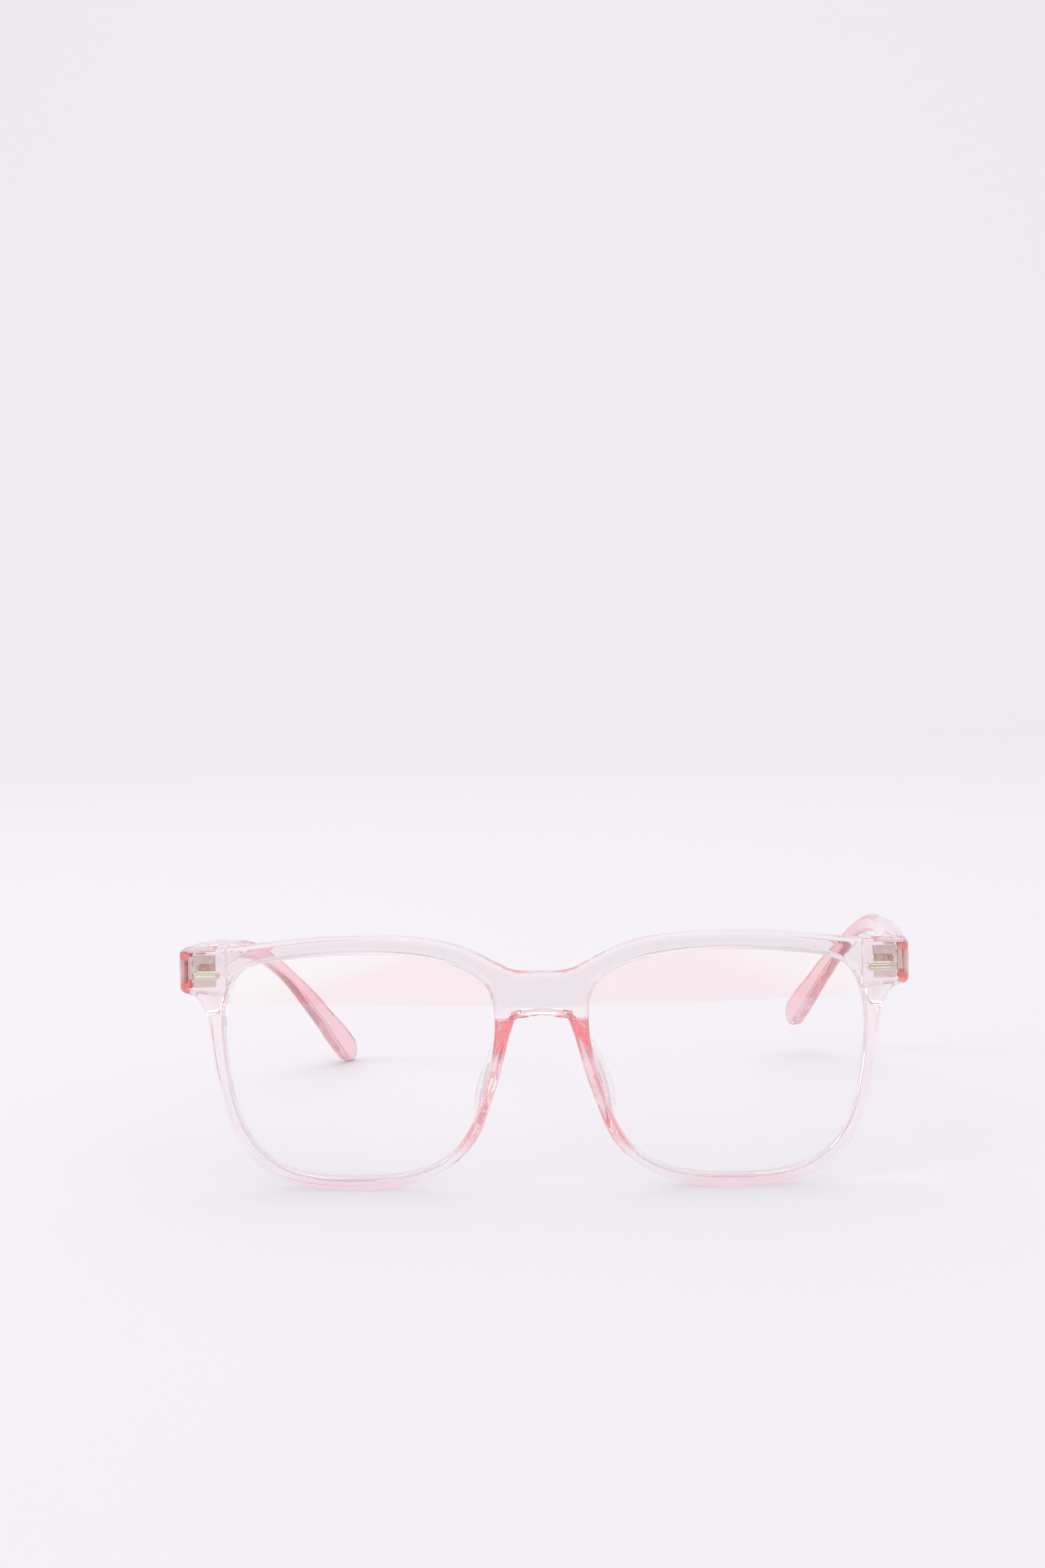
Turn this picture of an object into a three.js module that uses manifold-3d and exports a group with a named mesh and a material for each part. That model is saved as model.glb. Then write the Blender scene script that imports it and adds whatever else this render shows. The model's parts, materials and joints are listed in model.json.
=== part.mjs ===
// Blue light glasses: clear pink moulded frame with folding temples.
// Millimetres, +X to the wearer's left, -Y out of the front, +Z up.
// The glasses stand open on both rims and the tips of the temples.

import * as THREE from 'three';
import { mergeVertices } from 'three/addons/utils/BufferGeometryUtils.js';
import Module from 'manifold-3d';

const wasm = await Module();
wasm.setup();

// ---- Driving dimensions ----

// Front: outline in the X-Z plane, then wrapped onto a large sphere.
const HALF_WIDTH = 71.2;
const PLATE_DEPTH = 4.2;
const EDGE_ROUNDING = 0.5;
const WRAP_RADIUS = 504;
const WRAP_CENTRE_HEIGHT = 25;
const BRIDGE_TOP = 43;
const BRIDGE_UNDERSIDE = 34.6;
const BROW_END = 47.2;
const REST_FLAT = [34, 40];

// Lens and its groove in the rim.
const LENS_THICKNESS = 1.7;
const LENS_SEAT = 0.6;
const LENS_FRONT = 1.2;
const LENS_PLAY = 0.1;

// Nose pads, moulded with the front.
const PAD_TOP = 33.2;
const PAD_BOTTOM = 10.5;
const PAD_DEPTH = 6.4;
const PAD_SPLAY = 2;
const PAD_THICKNESS = 2;

// End pieces, which carry the hinges.
const END_INNER = 62.2;
const END_BOTTOM = 38.6;
const END_BACK = 12.5;
const SHOULDER = { inner: 63.4, outer: 65.9, bottom: 34.8, back: 9.6 };

// Hinges: three knuckles on the front, two on the temple.
const HINGE_X = 67.4;
const HINGE_Y = 13.9;
const KNUCKLE_RADIUS = 1.3;
const KNUCKLE_BOTTOM = 39.5;
const KNUCKLE_HEIGHT = 1.18;
const KNUCKLE_GAP = 0.1;
const BORE_RADIUS = 0.6;
const HINGE_PLATE = 1.1;
const FRONT_PLATE_WIDTH = 4.4;
const TEMPLE_PLATE_LENGTH = 7.6;
const PLATE_PLAY = 0.1;

// Hinge screws.
const SHANK_RADIUS = 0.5;
const HEAD_RADIUS = 1.15;
const HEAD_HEIGHT = 0.55;
const SLOT = { width: 0.3, depth: 0.3 };

// Pill-shaped metal trims, each held by two pins.
const TRIM = { x: 65.7, z: 42.5, length: 5.3, height: 1.8, proud: 0.45, sunk: 0.5, play: 0.08 };
const TRIM_PIN = { radius: 0.4, length: 1.6, spacing: 2.6 };

// Temples.
const TEMPLE_LENGTH = 145;
const TEMPLE_INNER = 68.8;
const TEMPLE_FRONT = 12.8;
const TEMPLE_CENTRE_HEIGHT = 43.1;
const TEMPLE_BOW = { start: -2.1, end: 1.4 };
const TEMPLE_SLOPE = { left: 1.8, right: 4.82 };
const EAR_BEND = { start: 47, length: 81, down: 32.8, inward: 17.9 };
const TIP_ROUND = 5;
const POCKET = { bottom: 40.1, top: 45.3, back: 20.9, outer: 70.1 };

const ROUND_STEPS = 24;

// ---- Materials ----

const plasticMaterial = () => new THREE.MeshStandardMaterial({
  color: '#f3c9d0', roughness: 0.12, metalness: 0,
});
const lensMaterial = () => new THREE.MeshStandardMaterial({
  color: '#eef0f2', roughness: 0.03, metalness: 0,
});
const steelMaterial = () => new THREE.MeshStandardMaterial({
  color: '#b9b4ae', roughness: 0.32, metalness: 1,
});
const chromeMaterial = () => new THREE.MeshStandardMaterial({
  color: '#dcdad8', roughness: 0.12, metalness: 1,
});

// ---- Solids: merged triangle meshes, joined and cut ----

function toSolid(geometry) {
  const bare = geometry.clone();
  bare.deleteAttribute('normal');
  bare.deleteAttribute('uv');
  const merged = mergeVertices(bare, 1e-5);
  return new wasm.Manifold(new wasm.Mesh({
    numProp: 3,
    vertProperties: merged.attributes.position.array,
    triVerts: new Uint32Array(merged.index.array),
  }));
}

function toGeometry(solid) {
  const mesh = solid.getMesh();
  const geometry = new THREE.BufferGeometry();
  geometry.setAttribute('position', new THREE.BufferAttribute(mesh.vertProperties, 3));
  geometry.setIndex(new THREE.BufferAttribute(mesh.triVerts, 1));
  return geometry;
}

function joined(geometries) {
  return geometries.map(toSolid).reduce((sum, solid) => sum.add(solid));
}

function box(x0, x1, y0, y1, z0, z1) {
  const geometry = new THREE.BoxGeometry(x1 - x0, y1 - y0, z1 - z0);
  geometry.translate((x0 + x1) / 2, (y0 + y1) / 2, (z0 + z1) / 2);
  return geometry;
}

function uprightCylinder(radius, x, y, z0, z1) {
  const geometry = new THREE.CylinderGeometry(radius, radius, z1 - z0, ROUND_STEPS);
  geometry.rotateX(Math.PI / 2);
  geometry.translate(x, y, (z0 + z1) / 2);
  return geometry;
}

// Skins a row of equal-sized rings and closes both ends with fans.
function loft(rings) {
  const size = rings[0].length;
  const points = rings.flat();
  const triangles = [];
  for (let r = 0; r < rings.length - 1; r += 1) {
    for (let k = 0; k < size; k += 1) {
      const a = r * size + k;
      const b = r * size + (k + 1) % size;
      triangles.push(a, b, b + size, a, b + size, a + size);
    }
  }
  const last = (rings.length - 1) * size;
  for (let k = 1; k < size - 1; k += 1) {
    triangles.push(0, k + 1, k, last, last + k, last + k + 1);
  }
  const geometry = new THREE.BufferGeometry();
  geometry.setAttribute('position', new THREE.Float32BufferAttribute(points.flatMap((p) => p.toArray()), 3));
  geometry.setIndex(triangles);
  return geometry;
}

// A copy reflected in the plane X = 0, with its faces turned out again.
function mirrored(geometry) {
  const copy = geometry.clone();
  copy.scale(-1, 1, 1);
  const source = copy.index ?? { array: [...copy.attributes.position.array.keys()] };
  const count = copy.index ? copy.index.count : copy.attributes.position.count;
  const turned = [];
  for (let i = 0; i < count; i += 3) {
    turned.push(source.array[i], source.array[i + 2], source.array[i + 1]);
  }
  copy.setIndex(turned);
  return copy;
}

// ---- The wrap of the front ----

function wrap(x, z) {
  return (x * x + (z - WRAP_CENTRE_HEIGHT) ** 2) / (2 * WRAP_RADIUS);
}

function wrapped(geometry) {
  const position = geometry.attributes.position;
  for (let i = 0; i < position.count; i += 1) {
    position.setY(i, position.getY(i) + wrap(position.getX(i), position.getZ(i)));
  }
  return geometry;
}

// Extrudes an outline of the X-Z plane along Y, from front to back.
function slab(shape, front, back, rounding = 0) {
  const geometry = new THREE.ExtrudeGeometry(shape, {
    depth: back - front - 2 * rounding,
    bevelEnabled: rounding > 0,
    bevelThickness: rounding,
    bevelSize: rounding,
    bevelOffset: -rounding,
    bevelSegments: 2,
  });
  geometry.rotateX(Math.PI / 2);
  geometry.translate(0, back - rounding, 0);
  return geometry;
}

// ---- Outlines of the front (wearer's left half; X, Z) ----

function throughPoints(points, steps) {
  const curve = new THREE.SplineCurve(points.map(([x, z]) => new THREE.Vector2(x, z)));
  return curve.getPoints(steps);
}

function browCurve() {
  return throughPoints([
    [0, BRIDGE_TOP], [4.8, 43.1], [9, 44.6], [14.2, 47.2], [20.5, 49.1],
    [33.5, 50], [46.5, 49.5], [60, 48], [HALF_WIDTH, BROW_END],
  ], 32);
}

function endPieceCurve() {
  return [[HALF_WIDTH, 40], [70.6, 39.1], [69, 38.7]].map(([x, z]) => new THREE.Vector2(x, z));
}

function outerSideCurve() {
  return throughPoints([
    [68.2, 38.4], [66.6, 36], [65.4, 31], [64.5, 23.5], [62.5, 15.4], [60, 9.3],
    [56.3, 4.5], [51.8, 1.9], [46.5, 0.6], [REST_FLAT[1], 0],
  ], 30);
}

function noseSideCurve() {
  return throughPoints([
    [REST_FLAT[0], 0], [28.5, 0.6], [21.5, 2.9], [16.4, 6.3], [12.9, 10.5],
    [10.3, 16.8], [8, 23.8], [6.1, 31], [5.2, 33.4],
  ], 30);
}

function undersideCurve() {
  return throughPoints([[4.2, 34.2], [2.2, 34.5], [0, BRIDGE_UNDERSIDE]], 4);
}

function lensOpening() {
  const points = [
    [9.1, 34], [10.9, 40.4], [16.4, 44], [26, 46.1], [40, 46.4], [52, 45.3], [59, 43],
    [61.8, 37.6], [62.3, 30], [61.1, 20], [57.3, 9.7], [50, 4], [37.5, 2.4],
    [26, 3.5], [17.6, 7.9], [12.6, 16.5], [9.9, 26],
  ];
  return new THREE.CatmullRomCurve3(points.map(([x, z]) => new THREE.Vector3(x, 0, z)), true);
}

// The opening's outline, moved outward by a constant distance.
function lensOutline(offset, steps = 64) {
  const curve = lensOpening();
  const outline = [];
  for (let i = 0; i < steps; i += 1) {
    const point = curve.getPointAt(i / steps);
    const tangent = curve.getTangentAt(i / steps);
    outline.push(new THREE.Vector2(point.x - tangent.z * offset, point.z + tangent.x * offset));
  }
  return outline;
}

// ---- Lens ----

// A disc with two dished faces and an edge band, as large as the opening and its overlap.
function dishedDisc(overlap, frontDepth, backDepth) {
  const outline = lensOutline(overlap);
  const centre = new THREE.Vector2(36, 24.5);
  const bands = 3;
  const face = (depth) => {
    const rings = [];
    for (let b = 1; b <= bands; b += 1) {
      rings.push(outline.map((p) => {
        const q = centre.clone().lerp(p, b / bands);
        return new THREE.Vector3(q.x, depth + wrap(q.x, q.y), q.y);
      }));
    }
    return rings;
  };
  return loft([...face(frontDepth), ...face(backDepth).reverse()]);
}

function lens() {
  return dishedDisc(LENS_SEAT, LENS_FRONT, LENS_FRONT + LENS_THICKNESS);
}

function lensGroove() {
  return dishedDisc(
    LENS_SEAT + LENS_PLAY,
    LENS_FRONT - LENS_PLAY,
    LENS_FRONT + LENS_THICKNESS + LENS_PLAY,
  );
}

// ---- Front frame ----

function frontOutline() {
  const half = [
    ...browCurve(), ...endPieceCurve(), ...outerSideCurve(),
    ...noseSideCurve(), ...undersideCurve(),
  ];
  const otherHalf = half.slice(1, -1).reverse().map((p) => new THREE.Vector2(-p.x, p.y));
  const shape = new THREE.Shape([...half, ...otherHalf]);
  const opening = lensOutline(0);
  shape.holes.push(new THREE.Path(opening.map((p) => new THREE.Vector2(-p.x, p.y))));
  shape.holes.push(new THREE.Path(opening.reverse()));
  return shape;
}

// The thick block behind each end of the front; its back is one flat face.
function endBlock() {
  const outline = [
    [END_INNER, 47.6], [66.8, 47.2], [HALF_WIDTH, BROW_END - 0.2], [HALF_WIDTH, 40],
    [70.6, 39.1], [69, END_BOTTOM], [END_INNER, END_BOTTOM],
  ];
  const shape = new THREE.Shape(outline.map(([x, z]) => new THREE.Vector2(x, z)));
  return slab(shape, 6, END_BACK);
}

function endShoulder() {
  return box(SHOULDER.inner, SHOULDER.outer, 6, SHOULDER.back, SHOULDER.bottom, END_BOTTOM + 1);
}

// X of the nose side of the front at a height.
function noseEdge(height) {
  const curve = noseSideCurve();
  const above = curve.findIndex((p, i) => i > 0 && p.y >= height && p.x < REST_FLAT[0] - 1);
  const low = curve[above - 1];
  const high = curve[above];
  return low.x + (high.x - low.x) * (height - low.y) / (high.y - low.y);
}

// A fin behind the rim, splayed away from the nose and rounded off at both ends.
function nosePad() {
  const steps = 14;
  const rings = [];
  for (let i = 0; i <= steps; i += 1) {
    const t = i / steps;
    const height = PAD_BOTTOM + (PAD_TOP - PAD_BOTTOM) * t;
    const edge = noseEdge(height);
    const bulge = Math.sin(Math.PI * (0.04 + 0.92 * t)) ** 0.7;
    const front = wrap(edge, height) + 2;
    const back = wrap(edge, height) + PLATE_DEPTH + PAD_DEPTH * bulge;
    const inner = edge + 0.4 + PAD_SPLAY * bulge;
    const outer = inner + PAD_THICKNESS;
    rings.push([
      new THREE.Vector3(edge + 0.5, front, height),
      new THREE.Vector3(edge + 2, front, height),
      new THREE.Vector3(outer, back - 1.2, height),
      new THREE.Vector3(outer - 0.5, back - 0.2, height),
      new THREE.Vector3(inner + 0.6, back, height),
      new THREE.Vector3(inner, back - 0.7, height),
    ]);
  }
  return loft(rings);
}

function trimShape(play) {
  const radius = TRIM.height / 2 + play;
  const reach = (TRIM.length - TRIM.height) / 2;
  const shape = new THREE.Shape();
  shape.absarc(reach, 0, radius, -Math.PI / 2, Math.PI / 2);
  shape.absarc(-reach, 0, radius, Math.PI / 2, 3 * Math.PI / 2);
  return shape;
}

function trimPins(play) {
  return [-1, 1].map((side) => {
    const radius = TRIM_PIN.radius + play;
    const pin = new THREE.CylinderGeometry(radius, radius, TRIM_PIN.length + play, 12);
    pin.translate(side * TRIM_PIN.spacing / 2, TRIM.sunk - 0.2 + TRIM_PIN.length / 2, 0);
    return pin;
  });
}

// Turns a piece made about the origin onto the face of the left end piece.
function onEndPiece(geometry) {
  geometry.rotateZ(Math.atan(TRIM.x / WRAP_RADIUS));
  geometry.translate(TRIM.x, wrap(TRIM.x, TRIM.z), TRIM.z);
  return geometry;
}

function trimSeat() {
  return joined([
    onEndPiece(slab(trimShape(TRIM.play), -2, TRIM.sunk + TRIM.play)),
    ...trimPins(TRIM.play).map(onEndPiece),
  ]);
}

function hingeSeat() {
  return box(
    HINGE_X + KNUCKLE_RADIUS - FRONT_PLATE_WIDTH - PLATE_PLAY,
    HINGE_X + KNUCKLE_RADIUS + PLATE_PLAY,
    END_BACK - HINGE_PLATE - PLATE_PLAY,
    END_BACK + 1,
    KNUCKLE_BOTTOM - PLATE_PLAY,
    knuckleTop(4) + PLATE_PLAY,
  );
}

function frontFrame() {
  const plate = wrapped(slab(frontOutline(), 0, PLATE_DEPTH, EDGE_ROUNDING));
  const added = [endBlock(), endShoulder(), nosePad()];
  const removed = [lensGroove(), toGeometry(trimSeat()), hingeSeat()];
  const body = joined([plate, ...added, ...added.map(mirrored)]);
  return toGeometry(body.subtract(joined([...removed, ...removed.map(mirrored)])));
}

// ---- Hinges ----

function knuckleFloor(index) {
  return KNUCKLE_BOTTOM + index * (KNUCKLE_HEIGHT + KNUCKLE_GAP);
}

function knuckleTop(index) {
  return knuckleFloor(index) + KNUCKLE_HEIGHT;
}

function hingeBore() {
  return uprightCylinder(BORE_RADIUS, HINGE_X, HINGE_Y, KNUCKLE_BOTTOM - 1, knuckleTop(4) + 1);
}

// Plate sunk in the end piece, with the bottom, middle and top knuckles.
function frontHinge() {
  const right = HINGE_X + KNUCKLE_RADIUS;
  const plateBack = END_BACK - 0.02;
  const parts = [box(
    right - FRONT_PLATE_WIDTH, right, END_BACK - HINGE_PLATE, plateBack,
    KNUCKLE_BOTTOM, knuckleTop(4),
  )];
  for (const index of [0, 2, 4]) {
    const floor = knuckleFloor(index);
    const top = knuckleTop(index);
    parts.push(uprightCylinder(KNUCKLE_RADIUS, HINGE_X, HINGE_Y, floor, top));
    parts.push(box(HINGE_X - KNUCKLE_RADIUS, right, END_BACK - 0.5, HINGE_Y, floor, top));
  }
  return toGeometry(joined(parts).subtract(toSolid(hingeBore())));
}

// Plate sunk in the temple's pocket, with the two knuckles in between.
function templeHinge() {
  const plateInner = POCKET.outer - PLATE_PLAY - HINGE_PLATE;
  const parts = [box(
    plateInner, POCKET.outer - PLATE_PLAY, TEMPLE_FRONT + PLATE_PLAY,
    TEMPLE_FRONT + PLATE_PLAY + TEMPLE_PLATE_LENGTH,
    POCKET.bottom + PLATE_PLAY, POCKET.top - PLATE_PLAY,
  )];
  for (const index of [1, 3]) {
    const floor = knuckleFloor(index);
    const top = knuckleTop(index);
    parts.push(uprightCylinder(KNUCKLE_RADIUS, HINGE_X, HINGE_Y, floor, top));
    parts.push(box(HINGE_X, plateInner + 0.3, TEMPLE_FRONT + 0.1, HINGE_Y + KNUCKLE_RADIUS, floor, top));
  }
  return toGeometry(joined(parts).subtract(toSolid(hingeBore())));
}

function hingeScrew() {
  const seat = knuckleTop(4) + 0.02;
  const end = KNUCKLE_BOTTOM - 0.2;
  const profile = [
    [0, end], [SHANK_RADIUS, end], [SHANK_RADIUS, seat], [HEAD_RADIUS, seat],
    [HEAD_RADIUS, seat + HEAD_HEIGHT * 0.6], [HEAD_RADIUS * 0.8, seat + HEAD_HEIGHT],
    [0, seat + HEAD_HEIGHT],
  ];
  const body = new THREE.LatheGeometry(profile.map(([r, z]) => new THREE.Vector2(r, z)), ROUND_STEPS);
  body.rotateX(Math.PI / 2);
  body.translate(HINGE_X, HINGE_Y, 0);
  const slot = box(
    HINGE_X - 2, HINGE_X + 2, HINGE_Y - SLOT.width / 2, HINGE_Y + SLOT.width / 2,
    seat + HEAD_HEIGHT - SLOT.depth, seat + 2,
  );
  return toGeometry(toSolid(body).subtract(toSolid(slot)));
}

// ---- Trim ----

function trim() {
  const crown = 0.35;
  const body = new THREE.ExtrudeGeometry(trimShape(-crown), {
    depth: TRIM.proud + TRIM.sunk - 2 * crown,
    bevelThickness: crown,
    bevelSize: crown,
    bevelSegments: 3,
    curveSegments: 8,
  });
  body.rotateX(Math.PI / 2);
  body.translate(0, TRIM.sunk - crown, 0);
  return onEndPiece(toGeometry(joined([body, ...trimPins(0)])));
}

// ---- Temples ----

function eased(t) {
  const clamped = THREE.MathUtils.clamp(t, 0, 1);
  return clamped * clamped * (3 - 2 * clamped);
}

function tapered(stations, s) {
  const next = stations.findIndex(([at]) => at >= s);
  const [s1, v1] = stations[Math.max(next, 1)];
  const [s0, v0] = stations[Math.max(next, 1) - 1];
  return v0 + (v1 - v0) * eased((s - s0) / (s1 - s0));
}

function templeHeight(s) {
  return tapered([
    [0, 8.1], [15, 8], [35, 6.8], [60, 4], [100, 3.6], [122, 5], [136, 6.3], [TEMPLE_LENGTH, 6.3],
  ], s);
}

function templeThickness(s) {
  return tapered([
    [0, HALF_WIDTH - TEMPLE_INNER], [30, 2.55], [100, 2.55], [132, 3.2], [TEMPLE_LENGTH, 3.2],
  ], s);
}

// Rounded-rectangle ring around a point of the temple's centre line.
function templeRing(centre, across, up, thickness, height) {
  const corner = 0.55;
  const steps = 16;
  const ring = [];
  for (let k = 0; k < steps; k += 1) {
    const angle = -2 * Math.PI * (k + 0.5) / steps;
    const u = Math.sign(Math.cos(angle)) * Math.abs(Math.cos(angle)) ** corner;
    const v = Math.sign(Math.sin(angle)) * Math.abs(Math.sin(angle)) ** corner;
    ring.push(centre.clone().addScaledVector(across, u * thickness / 2).addScaledVector(up, v * height / 2));
  }
  return ring;
}

// Bowed a little out from the hinge, then bent down behind the ear and in towards the head.
function temple(slope) {
  const steps = 58;
  const stride = TEMPLE_LENGTH / steps;
  const degrees = Math.PI / 180;
  const centre = new THREE.Vector3(
    (HALF_WIDTH + TEMPLE_INNER) / 2, TEMPLE_FRONT, TEMPLE_CENTRE_HEIGHT,
  );
  const rings = [];
  for (let i = 0; i <= steps; i += 1) {
    const s = i * stride;
    const bend = eased((s - EAR_BEND.start) / EAR_BEND.length);
    const fall = (slope + EAR_BEND.down * bend) * degrees;
    const bow = THREE.MathUtils.lerp(TEMPLE_BOW.start, TEMPLE_BOW.end, Math.min(1, s / EAR_BEND.start));
    const turn = (bow + EAR_BEND.inward * bend) * degrees;
    const along = new THREE.Vector3(
      -Math.cos(fall) * Math.sin(turn), Math.cos(fall) * Math.cos(turn), -Math.sin(fall),
    );
    const across = new THREE.Vector3(Math.cos(turn), Math.sin(turn), 0);
    const square = new THREE.Vector3(0, 0, 1);
    const up = square.lerp(new THREE.Vector3().crossVectors(across, along), eased(s / 8));
    const past = Math.max(0, (s - TEMPLE_LENGTH + TIP_ROUND) / TIP_ROUND);
    const rounding = Math.sqrt(1 - Math.min(past, 0.97) ** 2);
    const thin = 0.5 + 0.5 * rounding;
    rings.push(templeRing(
      centre, across, up, templeThickness(s) * thin, templeHeight(s) * rounding,
    ));
    centre.addScaledVector(along, stride);
  }
  const pocket = box(
    TEMPLE_INNER - 2, POCKET.outer, TEMPLE_FRONT - 1, POCKET.back, POCKET.bottom, POCKET.top,
  );
  return toGeometry(toSolid(loft(rings)).subtract(toSolid(pocket)));
}

// ---- Assembly ----

function named(name, geometry, material) {
  const mesh = new THREE.Mesh(geometry, material);
  mesh.name = name;
  return mesh;
}

function addPair(group, name, geometry, material) {
  group.add(named(`${name}_left`, geometry, material));
  group.add(named(`${name}_right`, mirrored(geometry), material));
}

// Pieces of the front first, then what folds with each temple.
function glasses() {
  const group = new THREE.Group();
  const plastic = plasticMaterial();
  const steel = steelMaterial();
  group.add(named('front_frame', frontFrame(), plastic));
  addPair(group, 'lens', lens(), lensMaterial());
  addPair(group, 'front_hinge', frontHinge(), steel);
  addPair(group, 'hinge_screw', hingeScrew(), steel);
  addPair(group, 'front_trim', trim(), chromeMaterial());
  group.add(named('temple_left', temple(TEMPLE_SLOPE.left), plastic));
  group.add(named('temple_right', mirrored(temple(TEMPLE_SLOPE.right)), plastic));
  addPair(group, 'temple_hinge', templeHinge(), steel);
  return group;
}

// Stands the object on Z = 0 with the middle of its box over the origin.
function centred(group) {
  const bounds = new THREE.Box3().setFromObject(group, true);
  group.position.set(0, -(bounds.min.y + bounds.max.y) / 2, -bounds.min.z);
  return group;
}

export default centred(glasses());
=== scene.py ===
import json
import math

import bmesh
import bpy
import numpy as np
from mathutils import Matrix, Vector


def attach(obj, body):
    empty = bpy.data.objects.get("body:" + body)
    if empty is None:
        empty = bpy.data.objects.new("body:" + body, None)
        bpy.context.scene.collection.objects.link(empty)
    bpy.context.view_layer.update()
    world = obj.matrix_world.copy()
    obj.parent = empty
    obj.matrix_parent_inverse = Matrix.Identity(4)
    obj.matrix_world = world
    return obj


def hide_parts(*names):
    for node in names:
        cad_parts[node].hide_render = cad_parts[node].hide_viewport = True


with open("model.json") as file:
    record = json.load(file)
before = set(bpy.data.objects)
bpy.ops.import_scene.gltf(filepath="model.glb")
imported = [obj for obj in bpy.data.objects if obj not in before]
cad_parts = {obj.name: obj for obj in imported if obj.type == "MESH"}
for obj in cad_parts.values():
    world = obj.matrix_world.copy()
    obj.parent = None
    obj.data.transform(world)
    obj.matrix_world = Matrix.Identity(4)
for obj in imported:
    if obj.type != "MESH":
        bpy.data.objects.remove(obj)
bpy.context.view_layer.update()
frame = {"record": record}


# ---------------------------------------------------------------------------
# Studio. A pale paper sweep runs under and behind the glasses. A small key
# light stands on the left, soft ones hang over the glasses, the backdrop and
# the table's front, and a pale surround fills in. Its sizes are in metres.
# ---------------------------------------------------------------------------

MM = 0.001
SIDES = ((1, "left"), (-1, "right"))
SWEEP_BACK = 1.1
SWEEP_RADIUS = 0.55
SWEEP_SIDE = 2.6
SWEEP_FRONT = -2.4
SWEEP_TOP = 1.6
FLOOR_GAP = 0.00004
TABLE_EDGE = -0.3643
REFLECTION_CARD_LIFT = 0.001
BOUNCES = 40

scene = bpy.context.scene
scene.view_settings.view_transform = "Standard"
scene.cycles.max_bounces = BOUNCES
scene.cycles.transmission_bounces = BOUNCES
scene.cycles.glossy_bounces = BOUNCES


def linear(code):
    """An sRGB hex colour as linear red, green, blue and alpha."""
    channels = [int(code[i:i + 2], 16) / 255 for i in (1, 3, 5)]
    return [c / 12.92 if c < 0.04045 else ((c + 0.055) / 1.055) ** 2.4 for c in channels] + [1.0]


def add_node(tree, kind, settings=None, links=None, **properties):
    """Adds one node, sets its properties and sockets, and links sources to its inputs."""
    node = tree.nodes.new(kind)
    for name, value in properties.items():
        setattr(node, name, value)
    sockets = {socket.name: socket for socket in node.inputs if socket.enabled}
    sockets |= dict(enumerate(node.inputs))
    for name, value in (settings or {}).items():
        sockets[name].default_value = value
    for name, source in (links or {}).items():
        tree.links.new(source, sockets[name])
    return node


def set_stops(node, stops):
    """Gives a colour ramp its stops: each a place, a colour and how clear it is there."""
    elements = node.color_ramp.elements
    elements.remove(elements[1])
    for place, colour, clear in stops:
        stop = elements[0] if place == stops[0][0] else elements.new(place)
        stop.position = place
        stop.color = (*linear(colour)[:3], clear)


def mixed(node):
    """The output in use of a mix node."""
    return next(socket for socket in node.outputs if socket.enabled)


def new_material(name):
    """An empty node material and its output node."""
    material = bpy.data.materials.new(name)
    material.use_nodes = True
    material.node_tree.nodes.clear()
    return material, add_node(material.node_tree, "ShaderNodeOutputMaterial")


def mesh_object(name, vertices, faces, material):
    """A smooth-shaded mesh object. Vertices are in metres."""
    mesh = bpy.data.meshes.new(name)
    mesh.from_pydata([tuple(v) for v in vertices], [], faces)
    mesh.validate()
    mesh.shade_smooth()
    mesh.materials.append(material)
    piece = bpy.data.objects.new(name, mesh)
    scene.collection.objects.link(piece)
    return piece


def paper():
    """Matt white background paper with a faint cool cast."""
    material, output = new_material("background_paper")
    tree = material.node_tree
    coords = add_node(tree, "ShaderNodeTexCoord")
    fibre = add_node(tree, "ShaderNodeTexNoise", {"Scale": 900.0, "Detail": 2.0},
                     {"Vector": coords.outputs["Object"]})
    bump = add_node(tree, "ShaderNodeBump", {"Strength": 0.03, "Distance": 0.0002},
                    {"Height": fibre.outputs["Fac"]})
    shader = add_node(tree, "ShaderNodeBsdfPrincipled",
                      {"Base Color": linear("#f0eff1"), "Roughness": 0.9, "Specular IOR Level": 0.2},
                      {"Normal": bump.outputs["Normal"]})
    tree.links.new(shader.outputs["BSDF"], output.inputs["Surface"])
    return material


def sweep():
    """Floor, a quarter-round and the wall behind, as one sheet."""
    profile = [(SWEEP_FRONT, 0.0), (-1.0, 0.0), (SWEEP_BACK, 0.0)]
    for k in range(1, 25):
        turn = math.pi / 2 * k / 24
        profile.append((SWEEP_BACK + SWEEP_RADIUS * math.sin(turn), SWEEP_RADIUS * (1 - math.cos(turn))))
    profile.append((SWEEP_BACK + SWEEP_RADIUS, SWEEP_TOP))
    vertices = [(x, y, z - FLOOR_GAP) for y, z in profile for x in (-SWEEP_SIDE, SWEEP_SIDE)]
    faces = [(2 * i, 2 * i + 1, 2 * i + 3, 2 * i + 2) for i in range(len(profile) - 1)]
    return mesh_object("sweep", vertices, faces, paper())


# The lenses and the trims, which alone mirror the card of painted reflections.
mirrors = bpy.data.collections.new("mirror_faces")


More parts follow.
